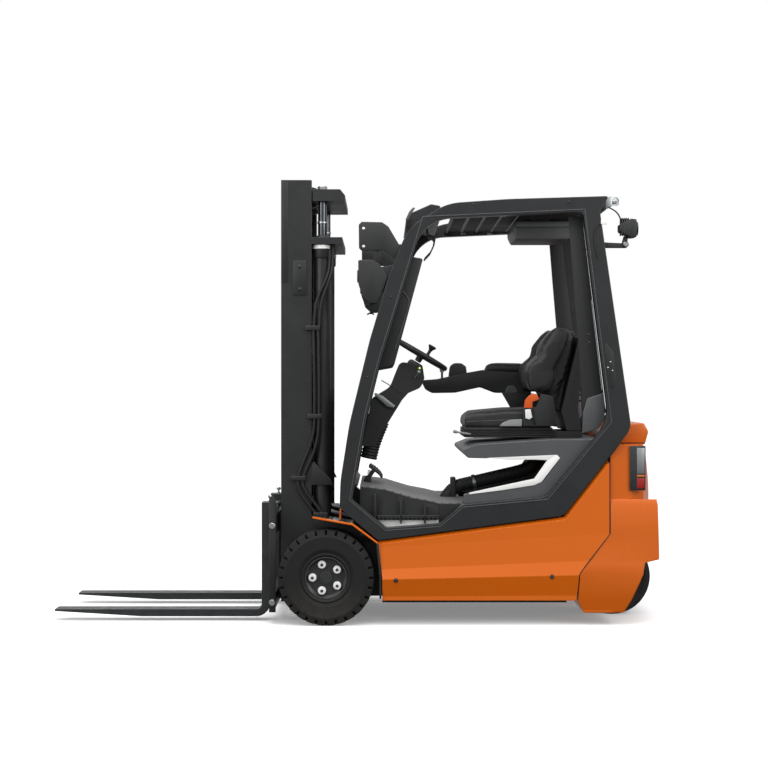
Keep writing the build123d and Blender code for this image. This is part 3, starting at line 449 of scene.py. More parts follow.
def newCopiesTree():
    # Geometry nodes: one copy of a small piece on each point, realized, in one material
    tree = bpy.data.node_groups.new("copiesOnPoints", "GeometryNodeTree")
    sockets = tree.interface
    sockets.new_socket("Places", in_out="INPUT", socket_type="NodeSocketGeometry")
    sockets.new_socket("Copied piece", in_out="INPUT", socket_type="NodeSocketObject")
    sockets.new_socket("Surface", in_out="INPUT", socket_type="NodeSocketMaterial")
    sockets.new_socket("Size", in_out="INPUT", socket_type="NodeSocketFloat")
    sockets.new_socket("Copies", in_out="OUTPUT", socket_type="NodeSocketGeometry")
    given = addNode(tree, "NodeGroupInput")
    source = addNode(tree, "GeometryNodeObjectInfo", i0=(given, 1))
    onPoints = addNode(tree, "GeometryNodeInstanceOnPoints", Points=(given, 0), Scale=(given, 3))
    tree.links.new(source.outputs["Geometry"], onPoints.inputs["Instance"])
    real = addNode(tree, "GeometryNodeRealizeInstances", i0=(onPoints, 0))
    surfaced = addNode(tree, "GeometryNodeSetMaterial", i0=(real, 0), Material=(given, 2))
    addNode(tree, "NodeGroupOutput", i0=(surfaced, 0))
    return tree


copiesTree = newCopiesTree()


def copies(name, master, places, body, finish, size=1.0):
    # Sets one copy of the master piece, made at the origin, at each place
    points = bpy.data.meshes.new(name + "Places")
    points.from_pydata([toMetres(place) for place in places], [], [])
    holder = bpy.data.objects.new(name + "Places", points)
    bpy.context.scene.collection.objects.link(holder)
    modifier = holder.modifiers.new("copies", "NODES")
    modifier.node_group = copiesTree
    values = {"Copied piece": master, "Surface": finishes[finish], "Size": size}
    for socket in copiesTree.interface.items_tree:
        if socket.in_out == "INPUT" and socket.name in values:
            modifier[socket.identifier] = values[socket.name]
    ready = holder.evaluated_get(bpy.context.evaluated_depsgraph_get())
    mesh = bpy.data.meshes.new_from_object(ready)
    holder.modifiers.clear()
    bpy.data.objects.remove(holder)
    bpy.data.objects.remove(master)
    piece = bpy.data.objects.new(name, mesh)
    bpy.context.scene.collection.objects.link(piece)
    return fit(piece, body, finish)


def boltMaster(facing, across=13):
    # A hexagon head on its washer, its seat at the origin
    washer = lathe("washer", [(0, across * 0.75), (1.5, across * 0.75), (1.5, 0)], (0, 0, 0), facing, 16)
    head = lathe(
        "head", [(1.5, across * 0.577), (across * 0.55, across * 0.577), (across * 0.62, across * 0.45), (across * 0.62, 0)],
        (0, 0, 0), facing, 6,
    )
    return merge("bolt", [washer, head])


def rivetMaster(facing, radius):
    # A low domed head
    return lathe(
        "rivet", [(0, radius), (radius * 0.3, radius * 0.85), (radius * 0.5, radius * 0.5), (radius * 0.55, 0)],
        (0, 0, 0), facing, 12,
    )


left = (0, -1, 0)
right = (0, 1, 0)
up = (0, 0, 1)
down = (0, 0, -1)
front = (-1, 0, 0)
rear = (1, 0, 0)
sides = {-1: left, 1: right}
sideName = {-1: "Left", 1: "Right"}
cutToMm = 1000
frontX = frontAxle[0] * cutToMm
frontZ = frontAxle[1] * cutToMm
rearX = rearAxle[0] * cutToMm
rearZ = rearAxle[1] * cutToMm

# Wheels: rim lips, studs and hub caps
frontWheel = {"centreY": 441, "faceY": 496, "nutCircle": 65, "nutFace": 514}
for side, facing in sides.items():
    body = "front_wheel_left" if side < 0 else "front_wheel_right"
    name = sideName[side]
    hub = (frontX, side * frontWheel["faceY"], frontZ)
    lip = lathe("lip", [(26, 94), (30, 95), (31, 97), (30, 99), (26, 99)], hub, facing, 56, True)
    fit(lip, body, "rimPaint").name = "rimLip" + name
    bead = lathe("bead", [(18, 99), (27, 98), (31, 104), (34, 113), (31, 117), (18, 114)], hub, facing, 56, True)
    fit(bead, body, "frontTyre").name = "tyreBead" + name
    turns = [pi + 2 * pi * i / 5 for i in range(5)]
    studs = [
        (frontX + 65 * cos(a), side * frontWheel["nutFace"], frontZ + 65 * sin(a)) for a in turns
    ]
    stud = lathe("stud", [(0, 7), (5, 7), (6.5, 5.5), (6.5, 0)], (0, 0, 0), facing, 12)
    copies("wheelStuds" + name, stud, studs, body, "rimPaint")
    collars = [(x, side * frontWheel["faceY"], z) for x, y, z in studs]
    collar = lathe("collar", [(0, 20), (16, 19), (18.5, 17), (18.5, 12.5)], (0, 0, 0), facing, 20)
    copies("nutCollars" + name, collar, collars, body, "whiteTrim")

rearHubY = 105
for side, facing in sides.items():
    hub = (rearX, side * rearHubY, rearZ)
    cap = lathe("cap", [(-2, 34), (8, 34), (12, 28), (12, 14), (9, 12), (9, 0)], hub, facing, 28)
    fit(cap, "rear_wheels", "rimPaint").name = "rearHubCap" + sideName[side]
    spots = [(rearX + 46 * cos(a), side * rearHubY, rearZ + 46 * sin(a)) for a in [2 * pi * i / 6 for i in range(6)]]
    copies("rearWheelNuts" + sideName[side], boltMaster(facing, 14), spots, "rear_wheels", "zincSteel")
print("wheels dressed")

# Body and cab forms that the solids leave to the scene: side outlines as (x, z) from one y to the other,
# made once on each side, or once across
pairedForms = {
    "fenderTop": {
        "outline": [(-205, 520), (-13, 487), (105, 398), (105, 388), (-17, 478), (-205, 511)],
        "y": (342, 530), "bevel": 2, "finish": "fenderEnamel",
    },
    "fenderLiner": {
        "outline": [(105, 388), (-17, 478), (-205, 511), (-205, 470), (-121, 380), (97, 380)],
        "y": (342, 346), "bevel": 1, "finish": "chassisPaint",
    },
    "wheelLiner": {
        "outline": [(97, 390), (108, 390), (122, 240), (122, 130), (112, 130), (112, 238)],
        "y": (428, 524), "bevel": 2, "finish": "chassisPaint",
    },
    "pillarTrim": {
        "outline": [(240, 1762), (321, 1748), (182, 1234), (82, 1216)],
        "y": (400, 455), "bevel": 10, "finish": "mouldedPlastic",
    },
    "lampPlate": {
        "outline": [
            (14, 1905), (28, 1919), (125, 1917), (155, 1896), (205, 1812), (236, 1812), (212, 1743), (186, 1743),
            (132, 1783), (25, 1783), (15, 1794),
        ],
        "y": (496, 504), "bevel": 2, "finish": "mouldedPlastic",
    },
    "lampShell": {
        "outline": [
            (11, 1738), (85, 1739), (108, 1723), (155, 1659), (142, 1622), (118, 1562), (100, 1530), (66, 1530),
            (32, 1560), (22, 1596), (12, 1622),
        ],
        "y": (430, 504), "bevel": 8, "finish": "mouldedPlastic",
    },
    "lampBracket": {
        "outline": [(120, 1706), (182, 1714), (160, 1600), (124, 1584)],
        "y": (466, 492), "bevel": 3, "finish": "mastPaint",
    },
    "lampNub": {
        "outline": [(86, 1730), (86, 1790), (116, 1790), (116, 1730)],
        "y": (480, 497), "bevel": 3, "finish": "mastPaint",
    },
    "coverPlate": {
        "outline": [(-309, 1581), (-243, 1581), (-243, 1747), (-309, 1747)],
        "y": (319, 326), "bevel": 1.5, "finish": "mastPaint", "body": "mast_outer",
    },
    "tailLamp": {
        "outline": [(1302, 642), (1378, 642), (1378, 854), (1302, 854)],
        "y": (494, 501), "bevel": 4, "finish": "smokedLens",
    },
}
for name, form in pairedForms.items():
    for side in sides:
        low, high = sorted((side * form["y"][0], side * form["y"][1]))
        piece = plate(name + sideName[side], form["outline"], low, high, form["bevel"])
        fit(piece, form.get("body", "chassis"), form["finish"])

singleForms = {
    "castingCap": {
        "outline": [(1210, 857), (1210, 950), (1224, 962), (1334, 958), (1381, 962), (1403, 921), (1386, 857)],
        "y": (-435, 435), "bevel": 12, "finish": "orangeCasting",
    },
    "roofRearHeader": {
        "outline": [(1136, 1975), (1138, 2030), (1197, 2034), (1197, 1980)],
        "y": (-456, 456), "bevel": 5, "finish": "cabPowderCoat",
    },
    "overheadConsole": {
        "outline": [(775, 1900), (789, 1866), (1048, 1866), (1068, 1896), (1068, 1926), (775, 1926)],
        "y": (-170, 170), "bevel": 6, "finish": "consolePlastic",
    },
    "consoleHangerFront": {
        "outline": [(845, 1918), (845, 1985), (875, 1985), (875, 1918)],
        "y": (-25, 25), "bevel": 2, "finish": "cabPowderCoat",
    },
    "consoleHangerRear": {
        "outline": [(1000, 1918), (1000, 1990), (1030, 1990), (1030, 1918)],
        "y": (-25, 25), "bevel": 2, "finish": "cabPowderCoat",
    },
    "workLampArm": {
        "outline": [(1184, 1795), (1288, 1795), (1296, 1850), (1274, 1850), (1266, 1818), (1180, 1822)],
        "y": (-495, -479), "bevel": 2, "finish": "mouldedPlastic",
    },
    "workLampHead": {
        "outline": [(1251, 1872), (1306, 1842), (1333, 1846), (1333, 1930), (1306, 1933), (1251, 1905)],
        "y": (-520, -445), "bevel": 6, "finish": "mouldedPlastic",
    },
    "flasherBase": {
        "outline": [(1194, 1988), (1194, 2046), (1227, 2048), (1227, 2000)],
        "y": (-435, -365), "bevel": 4, "finish": "zincSteel",
    },
    "conduitCollar": {
        "outline": [(470, 574), (470, 677), (496, 677), (496, 574)],
        "y": (-42, 42), "bevel": 6, "finish": "mouldedPlastic",
    },
    "armrestShellMain": {
        "outline": [
            (328, 1168), (351, 1119), (386, 1100), (507, 1102), (638, 1131), (716, 1101), (800, 1101), (821, 1066),
            (899, 1080), (928, 1207), (651, 1222), (560, 1206), (412, 1174),
        ],
        "y": (262, 335), "bevel": 9, "finish": "mouldedPlastic",
    },
    "armrestHousing": {
        "outline": [(471, 1170), (479, 1240), (500, 1258), (540, 1258), (565, 1240), (573, 1170)],
        "y": (272, 325), "bevel": 11, "finish": "mouldedPlastic",
    },
}
for name, form in singleForms.items():
    fit(plate(name, form["outline"], *form["y"], form["bevel"]), "chassis", form["finish"])
levers = [block("lever", (434, y - 5, 1165), (444, y + 5, 1216), 2) for y in (280, 317)]
fit(merge("armrestLevers", levers), "chassis", "mouldedPlastic")
roll = lathe("blindRoll", [(0, 0), (0, 14), (3, 17), (325, 17), (328, 14), (328, 0)], (792, -150, 1940), rear, 28)
fit(roll, "chassis", "greyPlastic")

# Pedals: bent pads on their stems and feet
pedalOutline = [
    (56, 731), (63, 740), (91, 724), (117, 700), (129, 680), (120, 675), (108, 692), (89, 708), (67, 676), (71, 654),
    (33, 659), (37, 674), (51, 680), (77, 716),
]
for y, name in ((-60, "Brake"), (100, "Drive")):
    fit(plate("pedal" + name, pedalOutline, y - 35, y + 35, 1.5), "chassis", "mouldedPlastic")

# Toothed step edges and upright ribs on the floor tub's walls
combOutline = [(100, 520), (400, 520)]
for i in reversed(range(15)):
    combOutline += [(100 + i * 20 + dx, z) for dx, z in ((20, 508), (16, 508), (13, 498), (7, 498), (4, 508))]
for side in sides:
    low, high = sorted((side * 424, side * 452))
    parts = [plate("comb", combOutline, low, high, 0)]
    parts += [
        plate("rib", [(x - 4, 480), (x + 4, 480), (x + 4, top), (x - 4, top)], low, high, 1.5)
        for x, top in ((91, 620), (215, 590), (330, 565))
    ]
    fit(merge("stepComb" + sideName[side], parts), "chassis", "mouldedPlastic")

# Mast hoses down the left rail, with their clips
hoseRoutes = {
    "mastHoseFront": [(-210, 1432), (-198, 972), (-220, 855), (-276, 728), (-291, 655), (-251, 582), (-191, 510)],
    "mastHoseRear": [(-188, 1432), (-176, 972), (-199, 826), (-259, 704), (-263, 650), (-221, 590), (-159, 510)],
}
for name, route in hoseRoutes.items():
    fit(tube(name, [(x, -329, z) for x, z in route], 8, 12), "mast_outer", "hoseRubber")
clip = block("clip", (-35, -10, -12), (35, 10, 12), 3)
clipPlaces = [(x, -329, z) for x, z in ((-213, 1420), (-203, 990), (-281, 690), (-175, 512))]
copies("hoseClips", clip, clipPlaces, "mast_outer", "mastPaint")


def flank(name, rows, innerY, side):
    # Folded side of the casting, from rows of (z, outer y, front x, rear x)
    form = bmesh.new()
    rings = []
    for z, outerY, frontEnd, rearEnd in rows:
        corners = [(frontEnd, outerY), (rearEnd, outerY), (rearEnd, innerY), (frontEnd, innerY)]
        rings.append([form.verts.new(toMetres((x, side * y, z))) for x, y in corners])
    for lower, upper in zip(rings, rings[1:]):
        for i in range(4):
            j = (i + 1) % 4
            form.faces.new((lower[i], lower[j], upper[j], upper[i]))
    form.faces.new(rings[0])
    form.faces.new(rings[-1])
    return meshObject(name, form)


flankRows = [
    (62, 495, 1086, 1272), (118, 505, 1056, 1308), (246, 528, 1064, 1362), (300, 519, 1102, 1372),
    (316, 516, 1114, 1440), (440, 510, 1210, 1438), (573, 510, 1210, 1434), (600, 498, 1210, 1430),
]
for side in sides:
    fit(flank("castingFlank" + sideName[side], flankRows, 490, side), "chassis", "orangeCasting")
print("body forms made")

# Mast: front strips, cover plate bolts, ram glands, tie bar bolts and pulley pins
mastSideY = 320
railFrontX = -367
for side, facing in sides.items():
    name = sideName[side]
    outer = side * (mastSideY + 2.5)
    inner = side * mastSideY
    low, high = sorted((outer, inner))
    strip = [(railFrontX, 1644), (railFrontX + 35, 1644), (railFrontX + 35, 2141), (railFrontX, 2141)]
    fit(plate("mastStrip" + name, strip, low, high, 0.8), "mast_outer", "mastPaint")
    gusset = [(-219, 656), (-219, 768), (-205, 768), (-130, 690), (-114, 656)]
    low, high = sorted((side * (mastSideY - 12), side * mastSideY))
    fit(plate("mastGusset" + name, gusset, low, high, 1.5), "mast_outer", "mastPaint")
    bolts = [(-276, side * 326, 1719), (-276, side * 326, 1609)]
    copies("coverBolts" + name, boltMaster(facing, 12), bolts, "mast_outer", "mastPaint")
    cylinder = (-168, side * 265, 0)
    gland = lathe("gland", [
        (1762, 43), (1762, 47), (1770, 50), (1824, 50), (1828, 47), (1828, 43),
    ], cylinder, up, 36, True)
    footRing = lathe("footRing", [(372, 43), (372, 49), (402, 49), (402, 43)], cylinder, up, 36, True)
    collar = lathe("collar", [(1806, 47), (1808, 52), (1826, 52), (1828, 47)], cylinder, up, 36, True)
    fit(collar, "mast_outer", "whiteTrim").name = "ramCollar" + name
    ring = lathe("ring", [(1934, 21), (1934, 25), (1942, 25), (1942, 21)], cylinder, up, 28, True)
    fit(ring, "mast_inner", "zincSteel").name = "rodRing" + name
    wiper = lathe("wiper", [(1863, 22.4), (1863, 33), (1872, 31), (1875, 26), (1875, 22.4)], cylinder, up, 28, True)
    fit(merge("ramGlands" + name, [gland, footRing, wiper]), "mast_outer", "mastPaint")
    port = lathe("port", [(0, 14), (16, 14), (16, 9), (34, 9), (34, 0)], (-125, side * 265, 430), rear, 20)
    fit(port, "mast_outer", "zincSteel").name = "ramPort" + name
    pins = [(-229, side * (160 + 22.5), 2068), (-229, side * (160 - 20.5), 2068)]
    pin = lathe("pin", [(-3, 15), (3, 15), (5, 12), (5, 0)], (0, 0, 0), facing, 20)
    copies("pulleyPins" + name, pin, pins, "mast_inner", "zincSteel")
    rodNut = lathe("rodNut", [(2097, 24), (2114, 24), (2117, 21), (2117, 0)], cylinder, up, 6)
    fit(rodNut, "mast_inner", "zincSteel").name = "rodNut" + name
    studs = [(-281, side * 160, 410), (-177, side * 160, 1829)]
    for (x, y, z), body in zip(studs, ("carriage", "mast_outer")):
        anchor = lathe("anchor", [(0, 17), (12, 17), (12, 8), (30, 8), (30, 0)], (x, y, z), down, 6)
        fit(anchor, body, "zincSteel").name = f"chainAnchor{name}{body}".replace("_", "")
    clevis = lathe("clevis", [(0, 13), (18, 13), (22, 9), (22, 0)], (-281, side * 160, 470), up, 16)
    fit(clevis, "carriage", "oiledChain").name = "chainClevis" + name
for x, reachX in ((-207, -132), (-182, -116)):
    line = [
        (x, -328, 1426), (x + 4, -328, 1500), (x + 14, -327, 1560), (reachX - 14, -318, 1660), (reachX, -306, 1710),
        (reachX + 2, -296, 1790), (reachX + 2, -290, 1834),
    ]
    fit(tube("mastHoseTop" + str(-x), line, 8, 12), "mast_outer", "hoseRubber")
tieBolts = [(-219, y, z) for z in (220, 520, 1345) for y in (-190, -170, 170, 190)]
copies("tieBolts", boltMaster(rear, 12), tieBolts, "mast_outer", "mastPaint")

# Leaf chains: a pair of outer plates, a pair of inner ones and the pins between them
chain = {"pitch": 16, "plateW": 13, "plateT": 2.2, "frontX": -281, "rearX": -177, "y": 160, "top": 2068}


def linkMaster(offsets):
    # The plates that one pitch holds, side by side across the chain
    half = chain["pitch"] / 2
    wide = chain["plateW"] / 2
    outline = [
        (-wide, -half), (-wide * 0.5, -half - 5), (wide * 0.5, -half - 5), (wide, -half),
        (wide, half), (wide * 0.5, half + 5), (-wide * 0.5, half + 5), (-wide, half),
    ]
    plates = [plate("linkPlate", outline, y, y + chain["plateT"], 0) for y in offsets]
    pin = lathe("linkPin", [(-10, 3.4), (10, 3.4)], (0, 0, half), right, 8)
    return merge("link", [*plates, pin])


def chainRun(name, x, low, high):
    # Both sides' runs of chain between two heights, as one mesh that nothing carries yet
    rows = int((high - low) / chain["pitch"])
    pitch = (high - low) / rows
    runs = []
    for odd, offsets in ((0, (-9.6, -4.8, 2.6, 7.4)), (1, (-7.2, -2.3, 0.1, 5.0))):
        spots = [
            (x, side * chain["y"], low + pitch * (i + 0.5)) for side in sides for i in range(odd, rows, 2)
        ]
        runs.append(copies(name + str(odd), linkMaster(offsets), spots, "mast_inner", "oiledChain"))
    return runs


for run in chainRun("frontChain", chain["frontX"], 476, chain["top"]):
    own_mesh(run)
    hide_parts("chain_front")
rearRuns = chainRun("rearChain", chain["rearX"], 1865, chain["top"])
for run in rearRuns:
    plain = run.data.copy()
    name = run.name
    bpy.data.objects.remove(run)
    run = bpy.data.objects.new(name, plain)
    bpy.context.scene.collection.objects.link(run)
    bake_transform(run)
    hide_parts("chain_rear")
print("mast dressed")

# Carriage end plates with their bolts, and the fork locks
for side, facing in sides.items():
    name = sideName[side]
    low, high = sorted((side * 460, side * 470))
    endPlate = [(-415, 58), (-383, 58), (-383, 596), (-395, 612), (-415, 612)]
    fit(plate("carriageEnd" + name, endPlate, low, high, 2), "carriage", "mastPaint")
    bolts = [(-400, side * 470, z) for z in (104, 470)]
    washer = lathe("disc", [(0, 15), (3, 15), (4.5, 13), (4.5, 0)], (0, 0, 0), facing, 24)
    copies("carriageBolts" + name, washer, bolts, "carriage", "zincSteel")
    body = "fork_left" if side < 0 else "fork_right"
    knob = lathe(
        "knob", [(0, 9), (6, 9), (7, 5), (18, 5), (20, 11), (27, 12), (32, 9), (33, 0)], (-420, side * 300, 574), up, 20,
    )
    fit(knob, body, "zincSteel").name = "forkLock" + name
notches = [(-407, y, 542) for y in range(-430, 431, 43) if abs(abs(y) - 300) > 60]
copies("barNotches", block("notch", (-4, -6, -1), (4, 6, 4), 0.8), notches, "carriage", "mastPaint")
print("carriage dressed")

# Tilt rams: glands
tilt = {"foot": (200, 430), "eye": (-160, 520), "y": 178}
tiltLine = Vector((tilt["eye"][0] - tilt["foot"][0], 0, tilt["eye"][1] - tilt["foot"][1]))
tiltWay = tiltLine.normalized()
for side, facing in sides.items():
    foot = Vector((tilt["foot"][0], side * tilt["y"], tilt["foot"][1]))
    mouth = foot + tiltWay * tiltLine.length * 0.62
    gland = lathe("gland", [(-34, 35), (-34, 38), (-4, 38), (0, 34), (3, 24), (3, 17.5), (-30, 17.5)], mouth, tiltWay, 32, True)
    fit(gland, "tilt_barrels", "mastPaint").name = "tiltGland" + sideName[side]

# The thin upright beside the mast, and grip strips on the steps
for side, facing in sides.items():
    name = sideName[side]
    rod = tube("stepRod", [(-74, side * 470, 503), (-74, side * 470, 545), (-70, side * 470, 556)], 5)
    fit(rod, "chassis", "orangeEnamel").name = "stepRod" + name
    strips = [(x, side * 440, 520 - (x + 205) * 33 / 192) for x in (-185, -150, -115, -45)]
    strip = block("strip", (-5, -75, -3), (5, 75, 1.5), 0.8)
    copies("fenderGrips" + name, strip, strips, "chassis", "hoseRubber")

# Doorway sills: bright riser plates behind the teeth, and seams along the panels
for side, facing in sides.items():
    name = sideName[side]
    low, high = sorted((side * 424, side * 429))
    riser = [(96, 424), (396, 452), (396, 496), (96, 496)]
    fit(plate("stepRiser" + name, riser, low, high, 0.8), "chassis", "whiteTrim")
    seam = [
        (1048, side * 503, 121), (1059, side * 527, 246), (1113, side * 518, 316), (1206, side * 510, 434),
        (1206, side * 510, 770), (1196, side * 510, 782),
    ]
    runs = [tube("run", pair, 2.2, 6) for pair in zip(seam, seam[1:])]
    fit(merge("panelSeam" + name, runs), "chassis", "hoseRubber")
    latches = [(x, side * 529, z) for x, z in ((190, 218), (930, 236))]
    latch = lathe("latch", [(-3, 11), (0.8, 11), (1.4, 9), (0.8, 7), (0.8, 0)], (0, 0, 0), facing, 20)
    copies("panelLatches" + name, latch, latches, "chassis", "mastPaint")
print("body dressed")

# Painted shade: thin black plates on the tub walls stand in for the shade in its pocket and hollows
for side, facing in sides.items():
    low, high = sorted((side * 424, side * 431))
    pocket = plate("pocket", [(329, 502), (398, 502), (398, 556), (380, 566), (329, 574)], low, high, 3)
    bar = plate("bar", [(198, 502), (226, 502), (226, 600), (198, 606)], low, high, 3)
    recess = plate("recess", [(108, 502), (122, 502), (122, 600), (108, 560)], low, high, 3)
    fit(merge("tubPanels" + sideName[side], [pocket, bar, recess]), "chassis", "hoseRubber")

# White C strips on the seat deck's cheeks, an outline with its inside cut away
stripOuter = [(621, 794), (700, 799), (961, 809), (976, 794), (930, 732), (888, 680), (852, 664), (700, 640), (543, 620)]
stripInner = [(540, 628), (700, 658), (789, 682), (852, 695), (914, 783), (860, 786), (727, 786)]
for side, facing in sides.items():
    low, high = sorted((side * 449, side * 453))
    lower = [(543, 620), (700, 640), (852, 664), (888, 680), (976, 794), (961, 809), (914, 783), (852, 695), (789, 682), (540, 628)]
    upper = [(961, 809), (621, 794), (727, 786), (860, 786), (914, 783)]
    parts = [plate("stripLow", lower, low, high, 0.8), plate("stripHigh", upper, low, high, 0.8)]
    fit(merge("deckStrip" + sideName[side], parts), "chassis", "whiteTrim")
    nose = [(494, 832), (520, 852), (600, 862), (600, 852), (530, 842), (508, 826)]
    low, high = sorted((side * 405, side * 409))
    rivets = [(1040, side * 450, 700), (1100, side * 450, 780)]
    copies("deckRivets" + sideName[side], rivetMaster(facing, 7), rivets, "chassis", "mouldedPlastic")

# Conduit: a ribbed sleeve over the plain duct, with a clamp
conduit = [(444, 0, 566), (480, 0, 628), (575, 0, 648), (720, 0, 682), (850, 0, 712), (905, 0, 745), (925, 0, 806)]
fit(tube("conduitSleeve", conduit, 35, 20, 9, 3), "chassis", "mouldedPlastic")
clamp = lathe("clamp", [(-8, 36), (-8, 39), (8, 39), (8, 36)], (590, 0, 651), Vector((95, 0, 20)), 28, True)
fit(clamp, "chassis", "zincSteel").name = "conduitClamp"
print("deck dressed")


# Seat: cushions blown up as cloth, then seams laid on them

def inflate(name, forms, node, settings):
    # Foam cushion: closed forms from their side outlines, remeshed into one and swollen under pressure
    pad = merge(name, [plate(name, outline, low, high, settings["round"]) for outline, low, high in forms])
    remesh = pad.modifiers.new("even", "REMESH")
    remesh.mode = "VOXEL"
    remesh.voxel_size = settings["voxelMm"] / 1000
    ready = pad.evaluated_get(bpy.context.evaluated_depsgraph_get())
    even = bpy.data.meshes.new_from_object(ready)
    pad.modifiers.clear()
    pad.data = even
    start = [vert.co.copy() for vert in even.vertices]
    cloth = pad.modifiers.new("swell", "CLOTH")
    cloth.settings.use_pressure = True
    cloth.settings.uniform_pressure_force = settings["pressure"]
    cloth.settings.effector_weights.gravity = 0
    cloth.settings.quality = 4
    cloth.settings.tension_stiffness = 15
    cloth.settings.compression_stiffness = 15
    scene = bpy.context.scene
    for step in range(1, 21):
        scene.frame_set(step)
    ready = pad.evaluated_get(bpy.context.evaluated_depsgraph_get())
    swollen = bpy.data.meshes.new_from_object(ready)
    pad.modifiers.clear()
    cap = settings["capMm"] / 1000
    for vert, rest in zip(swollen.vertices, start):
        move = vert.co - rest
        vert.co = rest + move * min(1, cap / max(move.length, 1e-9))
    pad.data = swollen
    scene.frame_set(1)
    finer = pad.modifiers.new("finer", "SUBSURF")
    finer.levels = 1
    finer.render_levels = 1
    ready = pad.evaluated_get(bpy.context.evaluated_depsgraph_get())
    pad.data = bpy.data.meshes.new_from_object(ready)
    pad.modifiers.clear()
    for face in pad.data.polygons:
        face.use_smooth = True
    fit(pad, "chassis", "seatVinyl")
    if node:
        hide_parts(node)
    return pad


def seamOn(pad, name, starts, way, radius=2.2):
    # Lays a piped seam where rays in one direction meet the pad
    tree = BVHTree.FromPolygons([v.co for v in pad.data.vertices], [p.vertices for p in pad.data.polygons])
    hits = [tree.ray_cast(toMetres(start), Vector(way)) for start in starts]
    spots = [tuple(hit[0] * 1000) for hit in hits if hit[0] is not None]
    return tube(name, spots, radius, 8) if len(spots) > 2 else None


cushionLook = {"voxelMm": 6, "pressure": 4, "capMm": 12, "fill": 0.7, "round": 12}
cushionOutline = [(528, 934), (520, 952), (524, 985), (560, 998), (740, 1014), (968, 1018), (968, 934)]
cushion = inflate("seatCushion", [(cushionOutline, -232, 232)], "seat_cushion", cushionLook)
backLook = {"voxelMm": 6, "pressure": 4, "capMm": 10, "fill": 0.7, "round": 12}
backOutline = [
    (1000, 1004), (905, 1120), (938, 1250), (978, 1396), (990, 1432), (1080, 1416), (1070, 1346), (1016, 1030), (1016, 1004),
]
wingOutline = [
    (850, 1114), (838, 1150), (834, 1208), (845, 1246), (892, 1292), (906, 1340), (950, 1400), (984, 1434), (1050, 1420),
    (1030, 1366), (1000, 1290), (962, 1220), (968, 1180), (950, 1118), (915, 1106),
]
backrest = inflate("seatBackrest", [(backOutline, -180, 180), (wingOutline, -226, -140), (wingOutline, 140, 226)], "seat_backrest", backLook)
padLook = {"voxelMm": 5, "pressure": 3, "capMm": 4, "fill": 0.8, "round": 6}
padOutline = [(656, 1208), (672, 1246), (692, 1256), (876, 1253), (890, 1240), (892, 1198)]
inflate("armrestPad", [(padOutline, 264, 333)], None, padLook)

seams = []
for y in (-140, 140):
    seams.append(seamOn(cushion, "seam", [(x, y, 1100) for x in range(545, 960, 12)], down))
    seams.append(seamOn(backrest, "seam", [(700, y, z) for z in range(1140, 1412, 12)], rear))
for x in (620, 720, 820):
    seams.append(seamOn(cushion, "seam", [(x, y, 1100) for y in range(-138, 139, 12)], down))
for z in (1190, 1260, 1330, 1390):
    seams.append(seamOn(backrest, "seam", [(700, y, z) for y in range(-138, 139, 12)], rear))
for y in (-300, 300):
    way = right if y < 0 else left
    seams.append(seamOn(cushion, "seam", [(x, y, 962 + (x - 540) * 0.04) for x in range(540, 956, 12)], way))
fit(merge("seatPiping", [seam for seam in seams if seam]), "chassis", "stitchThread")
print("seat made")

# Seat suspension: ribbed bellows round its base, side trims, slide lever and belt
ribs = [plate("rib", [(530, z), (530, z + 6), (972, z + 6), (972, z)], -236, 236, 2.8) for z in (885, 894, 903, 912, 921)]
ribs.append(plate("core", [(540, 884), (540, 934), (964, 934), (964, 884)], -228, 228, 3))
fit(merge("seatBellows", ribs), "chassis", "hoseRubber")
for side in sides:
    low, high = sorted((side * 242, side * 252))
    frameOutline = [(817, 940), (817, 1026), (880, 1032), (905, 1100), (966, 1088), (978, 1000), (978, 940)]
    fit(plate("seatSideFrame" + sideName[side], frameOutline, low, high, 4), "chassis", "mouldedPlastic")
trim = plate("trim", [(700, 940), (716, 958), (752, 972), (812, 976), (812, 940)], -253, -236, 5)
fit(trim, "chassis", "greyPlastic").name = "seatSideTrim"
lever = [tube("bar", [(560, -232, 902), (520, -236, 906), (492, -240, 912)], 5), lathe(
    "grip", [(-4, 0), (-2, 7), (8, 9), (16, 8), (20, 0)], (492, -240, 912), Vector((-1, 0, 0.2)), 16)]
fit(merge("seatSlideLever", lever), "chassis", "greyPlastic")
fit(tube("beltStalk", [(880, -240, 940), (872, -254, 960), (862, -258, 1000), (858, -258, 1030)], 7), "chassis", "beltWeb")
buckle = [(820, 1030), (826, 1070), (846, 1092), (868, 1102), (884, 1098), (896, 1072), (862, 1060), (862, 1030)]
fit(plate("beltBuckle", buckle, -264, -248, 4), "chassis", "buckleOrange")
tongue = [(828, 980), (826, 1022), (858, 1026), (862, 984), (846, 974)]
fit(plate("beltTongue", tongue, -262, -254, 2), "chassis", "whiteTrim")
retractor = plate("retractor", [(1020, 925), (1020, 985), (1080, 985), (1092, 960), (1092, 925)], 222, 262, 5)
fit(retractor, "chassis", "mouldedPlastic").name = "beltRetractor"
strap = plate("strap", [(1040, 980), (1030, 1100), (1034, 1100), (1050, 980)], 226, 258, 1)
fit(strap, "chassis", "beltWeb").name = "beltStrap"
backRibs = [
    plate("backRib", [(1104, z), (1104 + 20, z), (1124, z + 10), (1104, z + 10)], -150, 150, 2) for z in range(1060, 1181, 30)
]
fit(merge("seatBackRibs", backRibs), "chassis", "mouldedPlastic")

